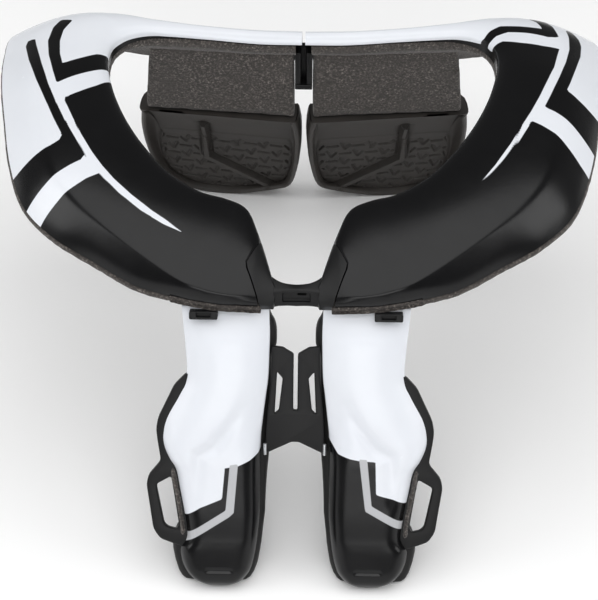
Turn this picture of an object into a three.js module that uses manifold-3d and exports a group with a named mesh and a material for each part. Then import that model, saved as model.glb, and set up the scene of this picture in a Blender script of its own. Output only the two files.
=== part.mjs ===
// Motocross neck brace: a rigid two-half collar that rests on the shoulders, two chest plates
// joined by a sprung link, and two rear pads that hang from the back of the collar.
// Millimetres, +Z up, the floor at z = 0. The front, with the chest plates, faces -Y.
import * as THREE from 'three';
import { mergeVertices } from 'three/addons/utils/BufferGeometryUtils.js';
import Module from 'manifold-3d';

const wasm = await Module();
wasm.setup();

// Clearances
const GAP = 0.3; // between pieces that touch
const SEAM = 1.6; // open seam between the collar halves at the back
const BEYOND = 400; // well past every edge of the part, for cutters

// Collar
const SHOULDER_WIDTH = 282; // lip to lip across the shoulders
const COLLAR_DEPTH = 184; // front lip to rear lip
const COLLAR_RISE = 29; // the shoulder crest above the front lip
const SHELL_WALL = 2.4;
const RIM_ROLL = 3.2; // radius of the rolled neck edge
const RIM_DROP = 6; // height of the wall below the rolled neck edge
const TOP_CROWN = 3; // how far the top face domes
const SKIRT_BULGE = 1.2; // how far the outer face bows
const LINER_THICKNESS = 3.5;
const LINER_PROUD = 2.5; // how far the liner shows below the shell
const COLLAR_STEPS = 38; // faceted steps along one half
const HOLLOW_REACH = 40; // how far below the collar its hollows are cut open

// Front end caps and the bridge between them
const CAP_REACH = 22.5; // half width to the point of the cap's arrow-shaped seam
const CAP_MOUTH = 14.5; // half width where the seam meets the front lip
const BRIDGE_DEPTH = 6;
const BRIDGE_HEIGHT = 11;
const BRIDGE_DIP = 2; // depth of the dip in its top edge
const BRIDGE_RECESS = 1.5; // depth of the recess in its face

// Chest plates
const CHEST_LENGTH = 125.5; // along the plate, from under the collar to the floor
const CHEST_SPLAY = 31.7; // degrees forward from vertical
const CHEST_TUCK = 8; // the plate's top line below the front lip
const CHEST_SETBACK = 1.4; // the plate's face behind the front lip
const PLATE_HALF_SPAN = 58.4; // centre plane to the outermost edge of a chest cover
const COVER_WALL = 2.5;
const COVER_CROWN = 7; // how far the cover domes
const PAD_THICKNESS = 8.5;
const FRAME_THICKNESS = 3.4;
const STRAP_BAR = 5; // width of the strap loop's bar
const STRAP_REACH = 13; // how far the loop stands out from the pad
const STRAP_OPENING = 24; // length of the loop's opening

// Chest link
const LINK_THICKNESS = 3;
const LINK_SLIT = 1.8;
const LINK_HALF_TOP = 10.4;
const LINK_HALF_FOOT = 13.2;
const LINK_LENGTH = 49;

// Adjuster sockets
const SOCKET_WIDTH = 12.5;
const SOCKET_HEIGHT = 3.2;
const SOCKET_DEPTH = 3;
const SOCKET_LIFT = 1.6; // its lower edge above the plate's top line

// Rear risers, pads and closure
const RISER_THICKNESS = 5;
const RISER_HALF_SPAN = 73;
const RISER_FLARE = 4.5; // how much wider each riser is at its foot
const RISER_FOOT = 78; // height of the risers' lower edge over the floor
const CLOSURE_WIDTH = 8.6;
const CLOSURE_DEPTH = 9;
const CLOSURE_FOOT = 98; // height of the closure's lower end over the floor
const CLOSURE_GROOVE = 2;
const REAR_PAD_WIDTH = 82;
const REAR_PAD_TILT = 20.5; // degrees backwards from vertical
const REAR_PAD_YAW = 6.5; // degrees that each pad is swept back towards its outer side
const REAR_PAD_THICKNESS = 12;
const REAR_PAD_BEVEL = 2;
const REAR_PAD_RIM = 4;
const REAR_PAD_DISH = 6; // depth of the dished floor below the rim
const REAR_PAD_SHELF = 14; // extra length of the slope between the top rim and the floor
const REAR_RIB = 3; // width and height of the moulded rib

// Heights and places that follow from the sizes above
const splay = THREE.MathUtils.degToRad(CHEST_SPLAY);
const rearTilt = THREE.MathUtils.degToRad(REAR_PAD_TILT);
const rearYaw = THREE.MathUtils.degToRad(REAR_PAD_YAW);
const chestTopZ = CHEST_LENGTH * Math.cos(splay);
const lipZ = chestTopZ + CHEST_TUCK;
const halfWidth = SHOULDER_WIDTH / 2;

function table(columns, rows) {
  return rows.map((row) => Object.fromEntries(columns.map((name, i) => [name, row[i]])));
}

// Stations along one half of the collar, from the front notch round the shoulder to the back.
// X is a share of the half width, Y of the collar's depth, Z of the collar's rise, and drop of
// the neck edge's wall.
const STATIONS = table(
  ['rimX', 'rimY', 'rimZ', 'creaseX', 'creaseY', 'creaseZ', 'lipX', 'lipY', 'lipZ', 'drop'],
  [
    [0.059, 0.048, 0.24, 0.062, 0.015, 0.14, 0.062, 0.004, 0, 0.5],
    [0.091, 0.125, 0.38, 0.11, 0.009, 0.17, 0.11, 0.002, 0, 0.7],
    [0.124, 0.195, 0.52, 0.163, 0.004, 0.22, 0.167, 0, 0.02, 1],
    [0.146, 0.237, 0.59, 0.213, 0.003, 0.25, 0.22, 0, 0.03, 1],
    [0.174, 0.258, 0.64, 0.27, 0.007, 0.3, 0.28, 0.003, 0.06, 1],
    [0.227, 0.27, 0.7, 0.348, 0.022, 0.39, 0.365, 0.015, 0.09, 1],
    [0.309, 0.285, 0.76, 0.461, 0.078, 0.52, 0.496, 0.051, 0.1, 1],
    [0.407, 0.339, 0.83, 0.596, 0.157, 0.67, 0.642, 0.124, 0.17, 1],
    [0.492, 0.422, 0.9, 0.706, 0.237, 0.79, 0.77, 0.19, 0.26, 1],
    [0.554, 0.505, 0.95, 0.784, 0.323, 0.88, 0.869, 0.279, 0.34, 1],
    [0.6, 0.593, 0.98, 0.831, 0.426, 0.94, 0.929, 0.413, 0.43, 1],
    [0.628, 0.675, 1, 0.865, 0.546, 0.97, 0.966, 0.567, 0.54, 1],
    [0.638, 0.734, 1, 0.885, 0.66, 0.98, 0.992, 0.698, 0.57, 1],
    [0.632, 0.787, 0.98, 0.883, 0.779, 0.94, 1, 0.812, 0.53, 1],
    [0.613, 0.818, 0.95, 0.858, 0.874, 0.92, 0.986, 0.91, 0.47, 0.8],
    [0.578, 0.846, 0.91, 0.78, 0.926, 0.89, 0.894, 0.975, 0.28, 0.6],
    [0.515, 0.869, 0.83, 0.652, 0.94, 0.86, 0.727, 0.991, 0.05, 0.4],
    [0.426, 0.88, 0.74, 0.496, 0.932, 0.79, 0.539, 0.989, -0.09, 0.2],
    [0.305, 0.886, 0.65, 0.351, 0.927, 0.71, 0.369, 0.994, -0.17, 0.1],
    [0.142, 0.893, 0.54, 0.16, 0.928, 0.61, 0.167, 0.998, -0.2, 0.1],
    [0, 0.903, 0.48, 0, 0.942, 0.52, 0, 1, -0.21, 0.1],
  ],
);
const HOLLOW_FROM = 1.9; // station where the shell's hollow begins, beside the end cap
const TUNNEL_FROM = 2.6; // stations between which the liner leaves an open channel
const TUNNEL_TO = 15.4;

// Sections down a chest cover: along is a share of the plate's length, outer and inner are
// shares of its half span, and dome is a share of its crown.
const COVER_ROWS = table(
  ['along', 'outer', 'inner', 'dome'],
  [
    [-0.04, 0.86, 0.205, 0.6],
    [0.07, 0.835, 0.198, 0.75],
    [0.21, 0.818, 0.208, 0.85],
    [0.28, 0.882, 0.226, 0.9],
    [0.36, 0.973, 0.247, 1],
    [0.42, 1, 0.262, 1],
    [0.465, 0.997, 0.274, 1],
    [0.535, 0.96, 0.284, 1],
    [0.62, 0.91, 0.288, 0.95],
    [0.73, 0.857, 0.295, 0.9],
    [0.85, 0.797, 0.318, 0.85],
    [0.91, 0.77, 0.345, 0.75],
    [0.957, 0.72, 0.39, 0.55],
    [0.995, 0.63, 0.54, 0.2],
  ],
);

// Sections down a chest pad, in the same shares.
const PAD_ROWS = table(
  ['along', 'outer', 'inner'],
  [
    [-0.16, 0.8, 0.22],
    [-0.02, 0.85, 0.19],
    [0.025, 0.84, 0.142],
    [0.1, 0.83, 0.136],
    [0.14, 0.825, 0.165],
    [0.21, 0.82, 0.165],
    [0.28, 0.9, 0.165],
    [0.36, 0.995, 0.17],
    [0.42, 1.02, 0.175],
    [0.52, 0.99, 0.19],
    [0.58, 0.93, 0.2],
    [0.73, 0.88, 0.22],
    [0.79, 0.92, 0.235],
    [0.85, 0.935, 0.25],
    [0.92, 0.895, 0.285],
    [0.965, 0.835, 0.35],
    [1.005, 0.74, 0.48],
    [1.02, 0.66, 0.6],
  ],
);

// Outline of a side strip and its strap loop, beside the cover: along and out as above.
const STRIP_OUTLINE = table(
  ['along', 'out'],
  [
    [0.2, 0.8], [0.205, 0.83], [0.245, 0.91], [0.37, 1.035],
    [0.41, 1.048], [0.44, 1.04], [0.525, 1.01],
  ],
);

// Outline of a rear pad's rim: across is a share of its width from the centre plane, along is
// a share of its length.
const REAR_OUTLINE = table(
  ['across', 'along'],
  [
    [0.08, -0.03], [0.045, 0.0], [0.03, 0.12], [0.03, 0.24], [0.05, 0.5], [0.09, 0.74],
    [0.13, 0.83], [0.2, 0.875], [0.34, 0.95], [0.5, 1.05], [0.68, 1.05], [0.84, 0.95],
    [0.95, 0.76], [1, 0.52], [1.01, 0.24], [0.99, 0.04], [0.96, -0.03],
  ],
);

// Mesh helpers
function strip(geometry) {
  geometry.deleteAttribute('normal');
  geometry.deleteAttribute('uv');
  return mergeVertices(geometry, 1e-4);
}

function toSolid(geometry) {
  const merged = strip(geometry.clone());
  return new wasm.Manifold(
    new wasm.Mesh({
      numProp: 3,
      vertProperties: new Float32Array(merged.attributes.position.array),
      triVerts: new Uint32Array(merged.index.array),
    }),
  );
}

function toGeometry(solid) {
  const mesh = solid.getMesh();
  const geometry = new THREE.BufferGeometry();
  geometry.setAttribute('position', new THREE.BufferAttribute(mesh.vertProperties, 3));
  geometry.setIndex(new THREE.BufferAttribute(mesh.triVerts, 1));
  return geometry;
}

// What is left of a piece once its neighbours have trimmed it: the largest body of it
function trimmed(raw, ...neighbours) {
  const rest = neighbours.reduce((solid, neighbour) => solid.subtract(neighbour), raw);
  return rest.decompose().sort((a, b) => b.volume() - a.volume())[0];
}

// A mesh whose faces all look outwards
function faceOut(positions, triangles) {
  let volume = 0;
  const [a, b, c] = [new THREE.Vector3(), new THREE.Vector3(), new THREE.Vector3()];
  for (let i = 0; i < triangles.length; i += 3) {
    a.copy(positions[triangles[i]]);
    b.copy(positions[triangles[i + 1]]);
    c.copy(positions[triangles[i + 2]]);
    volume += a.dot(b.cross(c));
  }
  if (volume < 0) triangles.reverse();
  const geometry = new THREE.BufferGeometry().setFromPoints(positions);
  geometry.setIndex(triangles);
  return geometry;
}

// A closed solid through rings of points, with an end cap fanned from the middle of each end ring.
function loft(rings) {
  const count = rings[0].length;
  const positions = rings.flat();
  const triangles = [];
  for (let j = 0; j + 1 < rings.length; j += 1) {
    for (let i = 0; i < count; i += 1) {
      const k = (i + 1) % count;
      const [p, q, r, s] = [j * count + i, j * count + k, (j + 1) * count + k, (j + 1) * count + i];
      triangles.push(p, q, r, p, r, s);
    }
  }
  [0, rings.length - 1].forEach((j) => {
    const middle = new THREE.Vector3();
    rings[j].forEach((point) => middle.addScaledVector(point, 1 / count));
    const centre = positions.push(middle) - 1;
    for (let i = 0; i < count; i += 1) {
      const [p, q] = [j * count + i, j * count + ((i + 1) % count)];
      if (j === 0) triangles.push(centre, q, p);
      else triangles.push(centre, p, q);
    }
  });
  return faceOut(positions, triangles);
}

// A closed solid between two grids of points of the same size.
function slab(front, back) {
  const rows = front.length;
  const columns = front[0].length;
  const size = rows * columns;
  const positions = [...front.flat(), ...back.flat()];
  const triangles = [];
  const quad = (a, b, c, d) => triangles.push(a, b, c, a, c, d);
  for (let j = 0; j + 1 < rows; j += 1) {
    for (let i = 0; i + 1 < columns; i += 1) {
      const a = j * columns + i;
      const [b, c, d] = [a + 1, a + columns + 1, a + columns];
      quad(a, b, c, d);
      quad(a + size, d + size, c + size, b + size);
    }
  }
  const edge = [];
  for (let i = 0; i < columns - 1; i += 1) edge.push(i);
  for (let j = 0; j < rows - 1; j += 1) edge.push(j * columns + columns - 1);
  for (let i = columns - 1; i > 0; i -= 1) edge.push((rows - 1) * columns + i);
  for (let j = rows - 1; j > 0; j -= 1) edge.push(j * columns);
  edge.forEach((a, i) => {
    const b = edge[(i + 1) % edge.length];
    quad(b, a, a + size, b + size);
  });
  return faceOut(positions, triangles);
}

function plate(points, thickness, holes = []) {
  const outline = THREE.ShapeUtils.isClockWise(points) ? [...points].reverse() : points;
  const shape = new THREE.Shape(outline);
  holes.forEach((hole) => shape.holes.push(new THREE.Path(hole)));
  return new THREE.ExtrudeGeometry(shape, { depth: thickness, bevelEnabled: false });
}

function box(x0, x1, y0, y1, z0, z1) {
  const geometry = new THREE.BoxGeometry(x1 - x0, y1 - y0, z1 - z0);
  return geometry.translate((x0 + x1) / 2, (y0 + y1) / 2, (z0 + z1) / 2);
}

function mirrored(geometry) {
  const copy = geometry.clone();
  const source = copy.index ? copy : mergeVertices(copy);
  source.applyMatrix4(new THREE.Matrix4().makeScale(-1, 1, 1));
  source.setIndex(Array.from(source.index.array).reverse());
  return source;
}

// Collar sections
function curveOf(part) {
  const points = STATIONS.map((row) => new THREE.Vector3(
    SEAM / 2 + row[`${part}X`] * (halfWidth - SEAM / 2),
    row[`${part}Y`] * COLLAR_DEPTH,
    lipZ + row[`${part}Z`] * COLLAR_RISE,
  ));
  return new THREE.CatmullRomCurve3(points, false, 'catmullrom', 0.5);
}
const rimCurve = curveOf('rim');
const creaseCurve = curveOf('crease');
const lipCurve = curveOf('lip');
const lastStation = STATIONS.length - 1;

function dropAt(station) {
  const row = Math.min(Math.floor(station), lastStation - 1);
  const share = station - row;
  return RIM_DROP * THREE.MathUtils.lerp(STATIONS[row].drop, STATIONS[row + 1].drop, share);
}

function offsetLine(points, distance) {
  const moved = points.map((point, i) => {
    const before = points[Math.max(i - 1, 0)];
    const after = points[Math.min(i + 1, points.length - 1)];
    const into = new THREE.Vector2().subVectors(point, before).normalize();
    const out = new THREE.Vector2().subVectors(after, point).normalize();
    if (i === 0) into.copy(out);
    if (i === points.length - 1) out.copy(into);
    const normal = new THREE.Vector2(into.y + out.y, -into.x - out.x).normalize();
    const stretch = 1 / Math.max(normal.dot(new THREE.Vector2(out.y, -out.x)), 0.6);
    return point.clone().addScaledVector(normal, distance * stretch);
  });
  return moved;
}

// One collar section as flat points: x runs outwards from the neck edge, y runs up. inset moves
// every face inwards, past lengthens the two lower edges, and rolled keeps the round neck edge.
function sectionAt(station, { inset = 0, past = 0, rolled = true } = {}) {
  const share = station / lastStation;
  const rim = rimCurve.getPoint(share);
  const crease = creaseCurve.getPoint(share);
  const lip = lipCurve.getPoint(share);
  const across = Math.hypot(crease.x - rim.x, crease.y - rim.y);
  const beyond = across + Math.hypot(lip.x - crease.x, lip.y - crease.y);
  const creaseUp = crease.z - rim.z;
  const lipUp = lip.z - rim.z;
  const roll = Math.min(RIM_ROLL, across * 0.45);
  const crown = TOP_CROWN * Math.min(1, across / 30);
  const topAt = (x) => {
    const t = x / across;
    return creaseUp * t + crown * 4 * t * (1 - t) * Math.min(1, x / roll);
  };
  const line = [new THREE.Vector2(0, -dropAt(station) - roll)];
  if (rolled) {
    line.push(new THREE.Vector2(0, -roll));
    line.push(new THREE.Vector2(roll * 0.29, -roll * 0.29));
    line.push(new THREE.Vector2(roll, topAt(roll)));
  } else {
    line.push(new THREE.Vector2(0, 0));
  }
  const start = rolled ? roll : 0;
  [1 / 3, 2 / 3].forEach((t) => {
    const x = THREE.MathUtils.lerp(start, across, t);
    line.push(new THREE.Vector2(x, topAt(x)));
  });
  line.push(new THREE.Vector2(across, creaseUp));
  line.push(new THREE.Vector2((across + beyond) / 2 + SKIRT_BULGE, (creaseUp + lipUp) / 2));
  line.push(new THREE.Vector2(beyond, lipUp));
  const moved = offsetLine(line, inset);
  const last = moved.length - 1;
  const down = new THREE.Vector2().subVectors(moved[last], moved[last - 1]).normalize();
  if (past > 0) {
    moved.push(moved[last].clone().addScaledVector(down, past / Math.max(-down.y, 0.3)));
    moved.unshift(new THREE.Vector2(moved[0].x, moved[0].y - past));
  }
  const along = new THREE.Vector3(crease.x - rim.x, crease.y - rim.y, 0).normalize();
  const skirt = new THREE.Vector3(lip.x - crease.x, lip.y - crease.y, 0).normalize();
  return moved.map((point) => {
    const reach = Math.min(point.x, across);
    const place = rim.clone().addScaledVector(along, reach);
    place.addScaledVector(skirt, point.x - reach);
    place.z = rim.z + point.y;
    return place;
  });
}

function collarLoft(options, from = 0, to = lastStation) {
  const stations = [from];
  for (let j = 1; j < COLLAR_STEPS; j += 1) {
    const station = (lastStation * j) / COLLAR_STEPS;
    if (station > from + 0.1 && station < to - 0.1) stations.push(station);
  }
  stations.push(to);
  return loft(stations.map((station) => sectionAt(station, options)));
}

const seamShare = 0.995; // the shell's hollow stops short of the back seam
const bandSolid = toSolid(collarLoft({}));
const hollowSolid = toSolid(
  collarLoft({ inset: SHELL_WALL, past: HOLLOW_REACH }, HOLLOW_FROM, lastStation * seamShare),
);
const coreInset = SHELL_WALL + GAP;
const tunnelInset = coreInset + LINER_THICKNESS;
const coreSolid = toSolid(
  collarLoft(
    { inset: coreInset, past: LINER_PROUD }, HOLLOW_FROM + 0.1, lastStation * seamShare - 0.1,
  ),
);
const tunnelSolid = toSolid(
  collarLoft({ inset: tunnelInset, past: HOLLOW_REACH, rolled: false }, TUNNEL_FROM, TUNNEL_TO),
);

// The end cap's seam is an arrow in plan that points outwards along the shell.
function capPrism(grow) {
  const front = -5;
  const point = COLLAR_DEPTH * 0.078;
  const back = COLLAR_DEPTH * 0.17;
  const outline = [
    new THREE.Vector2(-1, front), new THREE.Vector2(CAP_MOUTH + grow, front),
    new THREE.Vector2(CAP_REACH + grow, point), new THREE.Vector2(CAP_MOUTH + grow, back + grow),
    new THREE.Vector2(-1, back + grow),
  ];
  return plate(outline, lipZ + COLLAR_RISE + 20);
}
const capSolid = bandSolid.intersect(toSolid(capPrism(0)));
const capClear = toSolid(capPrism(GAP));
const closureClear = toSolid(
  box(-1, CLOSURE_WIDTH / 2 + GAP, COLLAR_DEPTH * 0.8, COLLAR_DEPTH * 1.1, 0, lipZ + 60),
);
const shellSolid = trimmed(bandSolid, hollowSolid, capClear);
const linerSolid = trimmed(coreSolid, tunnelSolid, capClear, closureClear);

// The space that pieces under the collar stay out of: the whole band and its liner, apart from
// the open channel below the liner.
const proudOf = { past: LINER_PROUD + 2 * GAP };
const envelope = toSolid(collarLoft({ inset: -GAP, ...proudOf }))
  .add(toSolid(collarLoft({ inset: coreInset - GAP, ...proudOf })));
const channel = toSolid(
  collarLoft(
    { inset: tunnelInset + GAP, past: HOLLOW_REACH, rolled: false }, TUNNEL_FROM, TUNNEL_TO,
  ),
);
const keepOut = toGeometry(envelope.subtract(channel));

// Chest group: x across, y up the plate from its top line, z out of its face
const chest = new THREE.Group();
chest.position.set(0, CHEST_SETBACK, chestTopZ);
chest.rotation.x = Math.PI / 2 - splay;
chest.updateMatrixWorld();

function inGroup(geometry, group) {
  return geometry.clone().applyMatrix4(group.matrixWorld.clone().invert());
}
const bigFloor = box(-BEYOND, BEYOND, -BEYOND, BEYOND, -BEYOND, 0);
const chestKeepOut = toSolid(inGroup(keepOut, chest));
const chestFloor = toSolid(inGroup(bigFloor, chest));

const DOME_COLUMNS = [-1, -0.9, -0.6, -0.2, 0.2, 0.6, 0.9, 1];
function domeAt(u) {
  return 1 - Math.abs(u) ** 2.6;
}

function valueAt(rows, name, along) {
  let i = 0;
  while (i + 2 < rows.length && rows[i + 1].along < along) i += 1;
  const t = (along - rows[i].along) / (rows[i + 1].along - rows[i].along);
  return THREE.MathUtils.lerp(rows[i][name], rows[i + 1][name], THREE.MathUtils.clamp(t, 0, 1));
}

function coverGrid(grow, z) {
  return COVER_ROWS.map((row, j) => {
    const last = j === COVER_ROWS.length - 1 ? grow : 0;
    const first = j === 0 ? grow : 0;
    const outer = row.outer * PLATE_HALF_SPAN + grow;
    const inner = row.inner * PLATE_HALF_SPAN - grow;
    return DOME_COLUMNS.map((u) => new THREE.Vector3(
      THREE.MathUtils.lerp(inner, outer, (u + 1) / 2),
      -row.along * CHEST_LENGTH - last + first,
      row.dome * COVER_CROWN * domeAt(u) + z,
    ));
  });
}
const coverRaw = toSolid(slab(coverGrid(0, 0), coverGrid(0, -COVER_WALL)));
const coverSpace = toSolid(slab(coverGrid(GAP, COVER_CROWN), coverGrid(GAP, -COVER_WALL - 2 * GAP)));
const coverSolid = trimmed(coverRaw, chestKeepOut, chestFloor);

function padGrid(z, dome) {
  return PAD_ROWS.map((row) => {
    const outer = row.outer * PLATE_HALF_SPAN;
    const inner = row.inner * PLATE_HALF_SPAN;
    const coverOuter = valueAt(COVER_ROWS, 'outer', row.along) * PLATE_HALF_SPAN;
    const coverInner = valueAt(COVER_ROWS, 'inner', row.along) * PLATE_HALF_SPAN;
    const coverDome = valueAt(COVER_ROWS, 'dome', row.along) * COVER_CROWN;
    return [-1, -0.75, -0.35, 0, 0.35, 0.75, 1].map((u) => {
      const x = THREE.MathUtils.lerp(inner, outer, (u + 1) / 2);
      const v = (x - coverInner) / (coverOuter - coverInner) * 2 - 1;
      const lift = Math.abs(v) < 1 ? coverDome * domeAt(v) * dome : 0;
      return new THREE.Vector3(x, -row.along * CHEST_LENGTH, z + lift);
    });
  });
}
const padFront = -COVER_WALL - 2 * GAP;
const padRaw = toSolid(slab(padGrid(padFront, 0.8), padGrid(padFront - PAD_THICKNESS, 0)));

// Side strip and strap loop: one flat moulding on the pad's outer rim, beside the cover
function chestPoint(along, out) {
  return new THREE.Vector2(out * PLATE_HALF_SPAN, -along * CHEST_LENGTH);
}
const loopRoot = 0.9 * PLATE_HALF_SPAN;
const loopEdge = loopRoot + STRAP_REACH;
const loopTop = -0.53 * CHEST_LENGTH;
const loopFoot = loopTop - STRAP_OPENING - 2.6 * STRAP_BAR;
const stripOuter = STRIP_OUTLINE.map((row) => chestPoint(row.along, row.out));
const frameOutline = [
  ...stripOuter,
  new THREE.Vector2(loopEdge - 1, loopTop - STRAP_BAR * 1.1),
  new THREE.Vector2(loopEdge, loopTop - STRAP_BAR * 1.9),
  new THREE.Vector2(loopEdge - 3, loopFoot + STRAP_BAR * 1.4),
  new THREE.Vector2(loopEdge - 6, loopFoot + STRAP_BAR * 0.5),
  new THREE.Vector2(loopRoot - 4, loopFoot - STRAP_BAR * 0.3),
  new THREE.Vector2(loopRoot - 8, loopFoot + STRAP_BAR * 0.4),
  new THREE.Vector2(loopRoot - 5, loopTop),
  new THREE.Vector2(loopRoot - 2, -0.36 * CHEST_LENGTH),
];
const openTop = loopTop - STRAP_BAR * 1.3;
const loopOpening = [
  new THREE.Vector2(loopRoot + 2.6, openTop),
  new THREE.Vector2(loopEdge - STRAP_BAR, openTop - 3.6),
  new THREE.Vector2(loopEdge - STRAP_BAR - 3, openTop - STRAP_OPENING + 3),
  new THREE.Vector2(loopEdge - STRAP_BAR - 5.5, openTop - STRAP_OPENING + 1),
  new THREE.Vector2(loopRoot + 0.4, openTop - STRAP_OPENING * 0.82),
];
const frameRaw = plate(frameOutline, FRAME_THICKNESS, [loopOpening]);
frameRaw.translate(0, 0, padFront + GAP);
const frameSolid = trimmed(toSolid(frameRaw), coverSpace);
const frameSeat = toSolid(plate(frameOutline, COVER_CROWN * 2).translate(0, 0, padFront));

// Chest link: one sprung plate with a slit and two windows, over the pads' inner rims
const linkTop = -0.1 * CHEST_LENGTH;
const linkFoot = linkTop - LINK_LENGTH;
function bothSides(points) {
  const other = points.map(([x, y]) => [-x, y]).reverse();
  return [...points, ...other].map(([x, y]) => new THREE.Vector2(x, y));
}
const linkOutline = bothSides([
  [LINK_SLIT / 2, linkTop - LINK_LENGTH * 0.59],
  [LINK_SLIT / 2, linkTop - LINK_LENGTH * 0.07],
  [LINK_HALF_TOP * 0.56, linkTop - LINK_LENGTH * 0.01],
  [LINK_HALF_TOP, linkTop],
  [LINK_HALF_TOP + 0.3, linkTop - LINK_LENGTH * 0.3],
  [LINK_HALF_FOOT - 0.8, linkTop - LINK_LENGTH * 0.65],
  [LINK_HALF_FOOT, linkFoot],
  [LINK_HALF_FOOT * 0.74, linkFoot + LINK_LENGTH * 0.035],
  [LINK_HALF_FOOT * 0.12, linkFoot + LINK_LENGTH * 0.115],
]);
const linkWindow = [
  [LINK_HALF_TOP * 0.78, linkTop - LINK_LENGTH * 0.235],
  [LINK_HALF_TOP * 0.55, linkTop - LINK_LENGTH * 0.295],
  [LINK_HALF_TOP * 0.7, linkTop - LINK_LENGTH * 0.59],
  [LINK_HALF_TOP * 0.87, linkTop - LINK_LENGTH * 0.625],
];
const linkHoles = [1, -1].map((side) => linkWindow.map(([x, y]) => new THREE.Vector2(side * x, y)));
const linkGeometry = plate(linkOutline, LINK_THICKNESS, linkHoles).translate(0, 0, padFront + GAP);
const linkSeat = toSolid(plate(linkOutline, COVER_CROWN * 2).translate(0, 0, padFront));
const padSolid = trimmed(padRaw, coverSpace, frameSeat, linkSeat, chestKeepOut, chestFloor);

// Adjuster socket: a small clip on the cover, tucked under the collar's lip
const socketX = 0.69 * PLATE_HALF_SPAN;
const socketRaw = box(
  socketX - SOCKET_WIDTH / 2, socketX + SOCKET_WIDTH / 2, SOCKET_LIFT, SOCKET_LIFT + SOCKET_HEIGHT,
  0, COVER_CROWN + SOCKET_DEPTH,
);
const coverBelow = toSolid(slab(coverGrid(GAP, GAP), coverGrid(GAP, -COVER_CROWN * 2)));
const socketSolid = trimmed(toSolid(socketRaw), coverBelow, chestKeepOut);

// Front bridge between the end caps
const capInner = rimCurve.getPoint(0).x - GAP;
const bridgeTop = rimCurve.getPoint(0).z - 1;
const bridgeOutline = bothSides([
  [capInner * 0.55, bridgeTop - BRIDGE_DIP * 0.6],
  [capInner, bridgeTop],
  [capInner, bridgeTop - BRIDGE_HEIGHT],
  [capInner * 0.5, bridgeTop - BRIDGE_HEIGHT + BRIDGE_DIP * 0.4],
]);
const bridgeFront = lipCurve.getPoint(0).y + 0.6;
const bridgeRaw = plate(bridgeOutline, BRIDGE_DEPTH).rotateX(Math.PI / 2);
bridgeRaw.translate(0, bridgeFront + BRIDGE_DEPTH, 0);
const bridgeCut = box(
  -capInner * 0.75, capInner * 0.75, bridgeFront - 1, bridgeFront + BRIDGE_RECESS,
  bridgeTop - BRIDGE_HEIGHT * 0.85, bridgeTop - BRIDGE_HEIGHT * 0.3,
);
const bridgeSolid = toSolid(bridgeRaw).subtract(toSolid(bridgeCut));

// Rear risers: felt panels that hang from the liner and follow the neck edge
function stationAtX(x) {
  let [low, high] = [lastStation - 5, lastStation];
  for (let i = 0; i < 40; i += 1) {
    const middle = (low + high) / 2;
    if (rimCurve.getPoint(middle / lastStation).x > x) low = middle;
    else high = middle;
  }
  return low;
}
function riserY(x) {
  return rimCurve.getPoint(stationAtX(x) / lastStation).y + coreInset;
}
const riserInner = CLOSURE_WIDTH / 2 + GAP;
function riserGrid(back) {
  return [0, 0.5, 1].map((up) => [0, 0.2, 0.4, 0.6, 0.8, 1].map((t) => {
    const x = THREE.MathUtils.lerp(riserInner, RISER_HALF_SPAN, t);
    const footX = x + RISER_FLARE * t * (1 - up);
    const footY = riserY(riserInner) + (x - riserInner) * Math.tan(rearYaw);
    const y = THREE.MathUtils.lerp(footY, riserY(x), up) + back;
    return new THREE.Vector3(footX, y, THREE.MathUtils.lerp(RISER_FOOT, lipZ + COLLAR_RISE, up));
  }));
}
const keepOutSolid = toSolid(keepOut);
const riserSolid = trimmed(toSolid(slab(riserGrid(0), riserGrid(RISER_THICKNESS))), keepOutSolid);

// Rear closure: a fastened clasp between the risers, with a groove down its face
const closureFace = riserY(riserInner) - 1;
const closureRaw = box(
  -CLOSURE_WIDTH / 2, CLOSURE_WIDTH / 2, closureFace, closureFace + CLOSURE_DEPTH,
  CLOSURE_FOOT, rimCurve.getPoint(1).z - dropAt(lastStation) - RIM_ROLL,
);
const closureGroove = box(
  -CLOSURE_GROOVE / 2, CLOSURE_GROOVE / 2, closureFace - 1, closureFace + CLOSURE_DEPTH / 2,
  CLOSURE_FOOT + 3, lipZ + 60,
);
const closureSolid = trimmed(
  toSolid(closureRaw), toSolid(closureGroove), keepOutSolid, toSolid(mirrored(keepOut)),
);

// Rear pads: dished foam mouldings below the risers. Each group is x across, y up the pad from
// its top line, z out of its face towards the back of the wearer.
function rearGroup(side) {
  const group = new THREE.Group();
  group.position.set(0, riserY(riserInner), RISER_FOOT - GAP);
  group.rotation.order = 'ZXY';
  group.rotation.set(Math.PI / 2 + rearTilt, 0, side * rearYaw);
  group.updateMatrixWorld();
  return group;
}
const rearRight = rearGroup(1);
const rearLeft = rearGroup(-1);
const rearLength = (RISER_FOOT - GAP) / Math.cos(rearTilt);
function rearRing(inset, z, shelf = 0) {
  const middle = new THREE.Vector2(0.52 * REAR_PAD_WIDTH, -0.5 * rearLength);
  const narrowed = 1 - inset / (REAR_PAD_WIDTH / 2);
  return REAR_OUTLINE.map((row) => {
    const x = middle.x + (row.across * REAR_PAD_WIDTH - middle.x) * narrowed;
    const y = middle.y + (-row.along * rearLength - middle.y) * narrowed;
    return new THREE.Vector3(x, y - shelf * (1 + y / rearLength), z);
  });
}
const rearOuter = toSolid(loft([
  rearRing(REAR_PAD_BEVEL, 0), rearRing(0, -REAR_PAD_BEVEL),
  rearRing(REAR_PAD_BEVEL / 2, -REAR_PAD_THICKNESS),
]));
const rearDish = toSolid(loft([
  rearRing(REAR_PAD_RIM, 1),
  rearRing(REAR_PAD_RIM + REAR_PAD_DISH * 0.7, -REAR_PAD_DISH, REAR_PAD_SHELF),
]));
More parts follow.
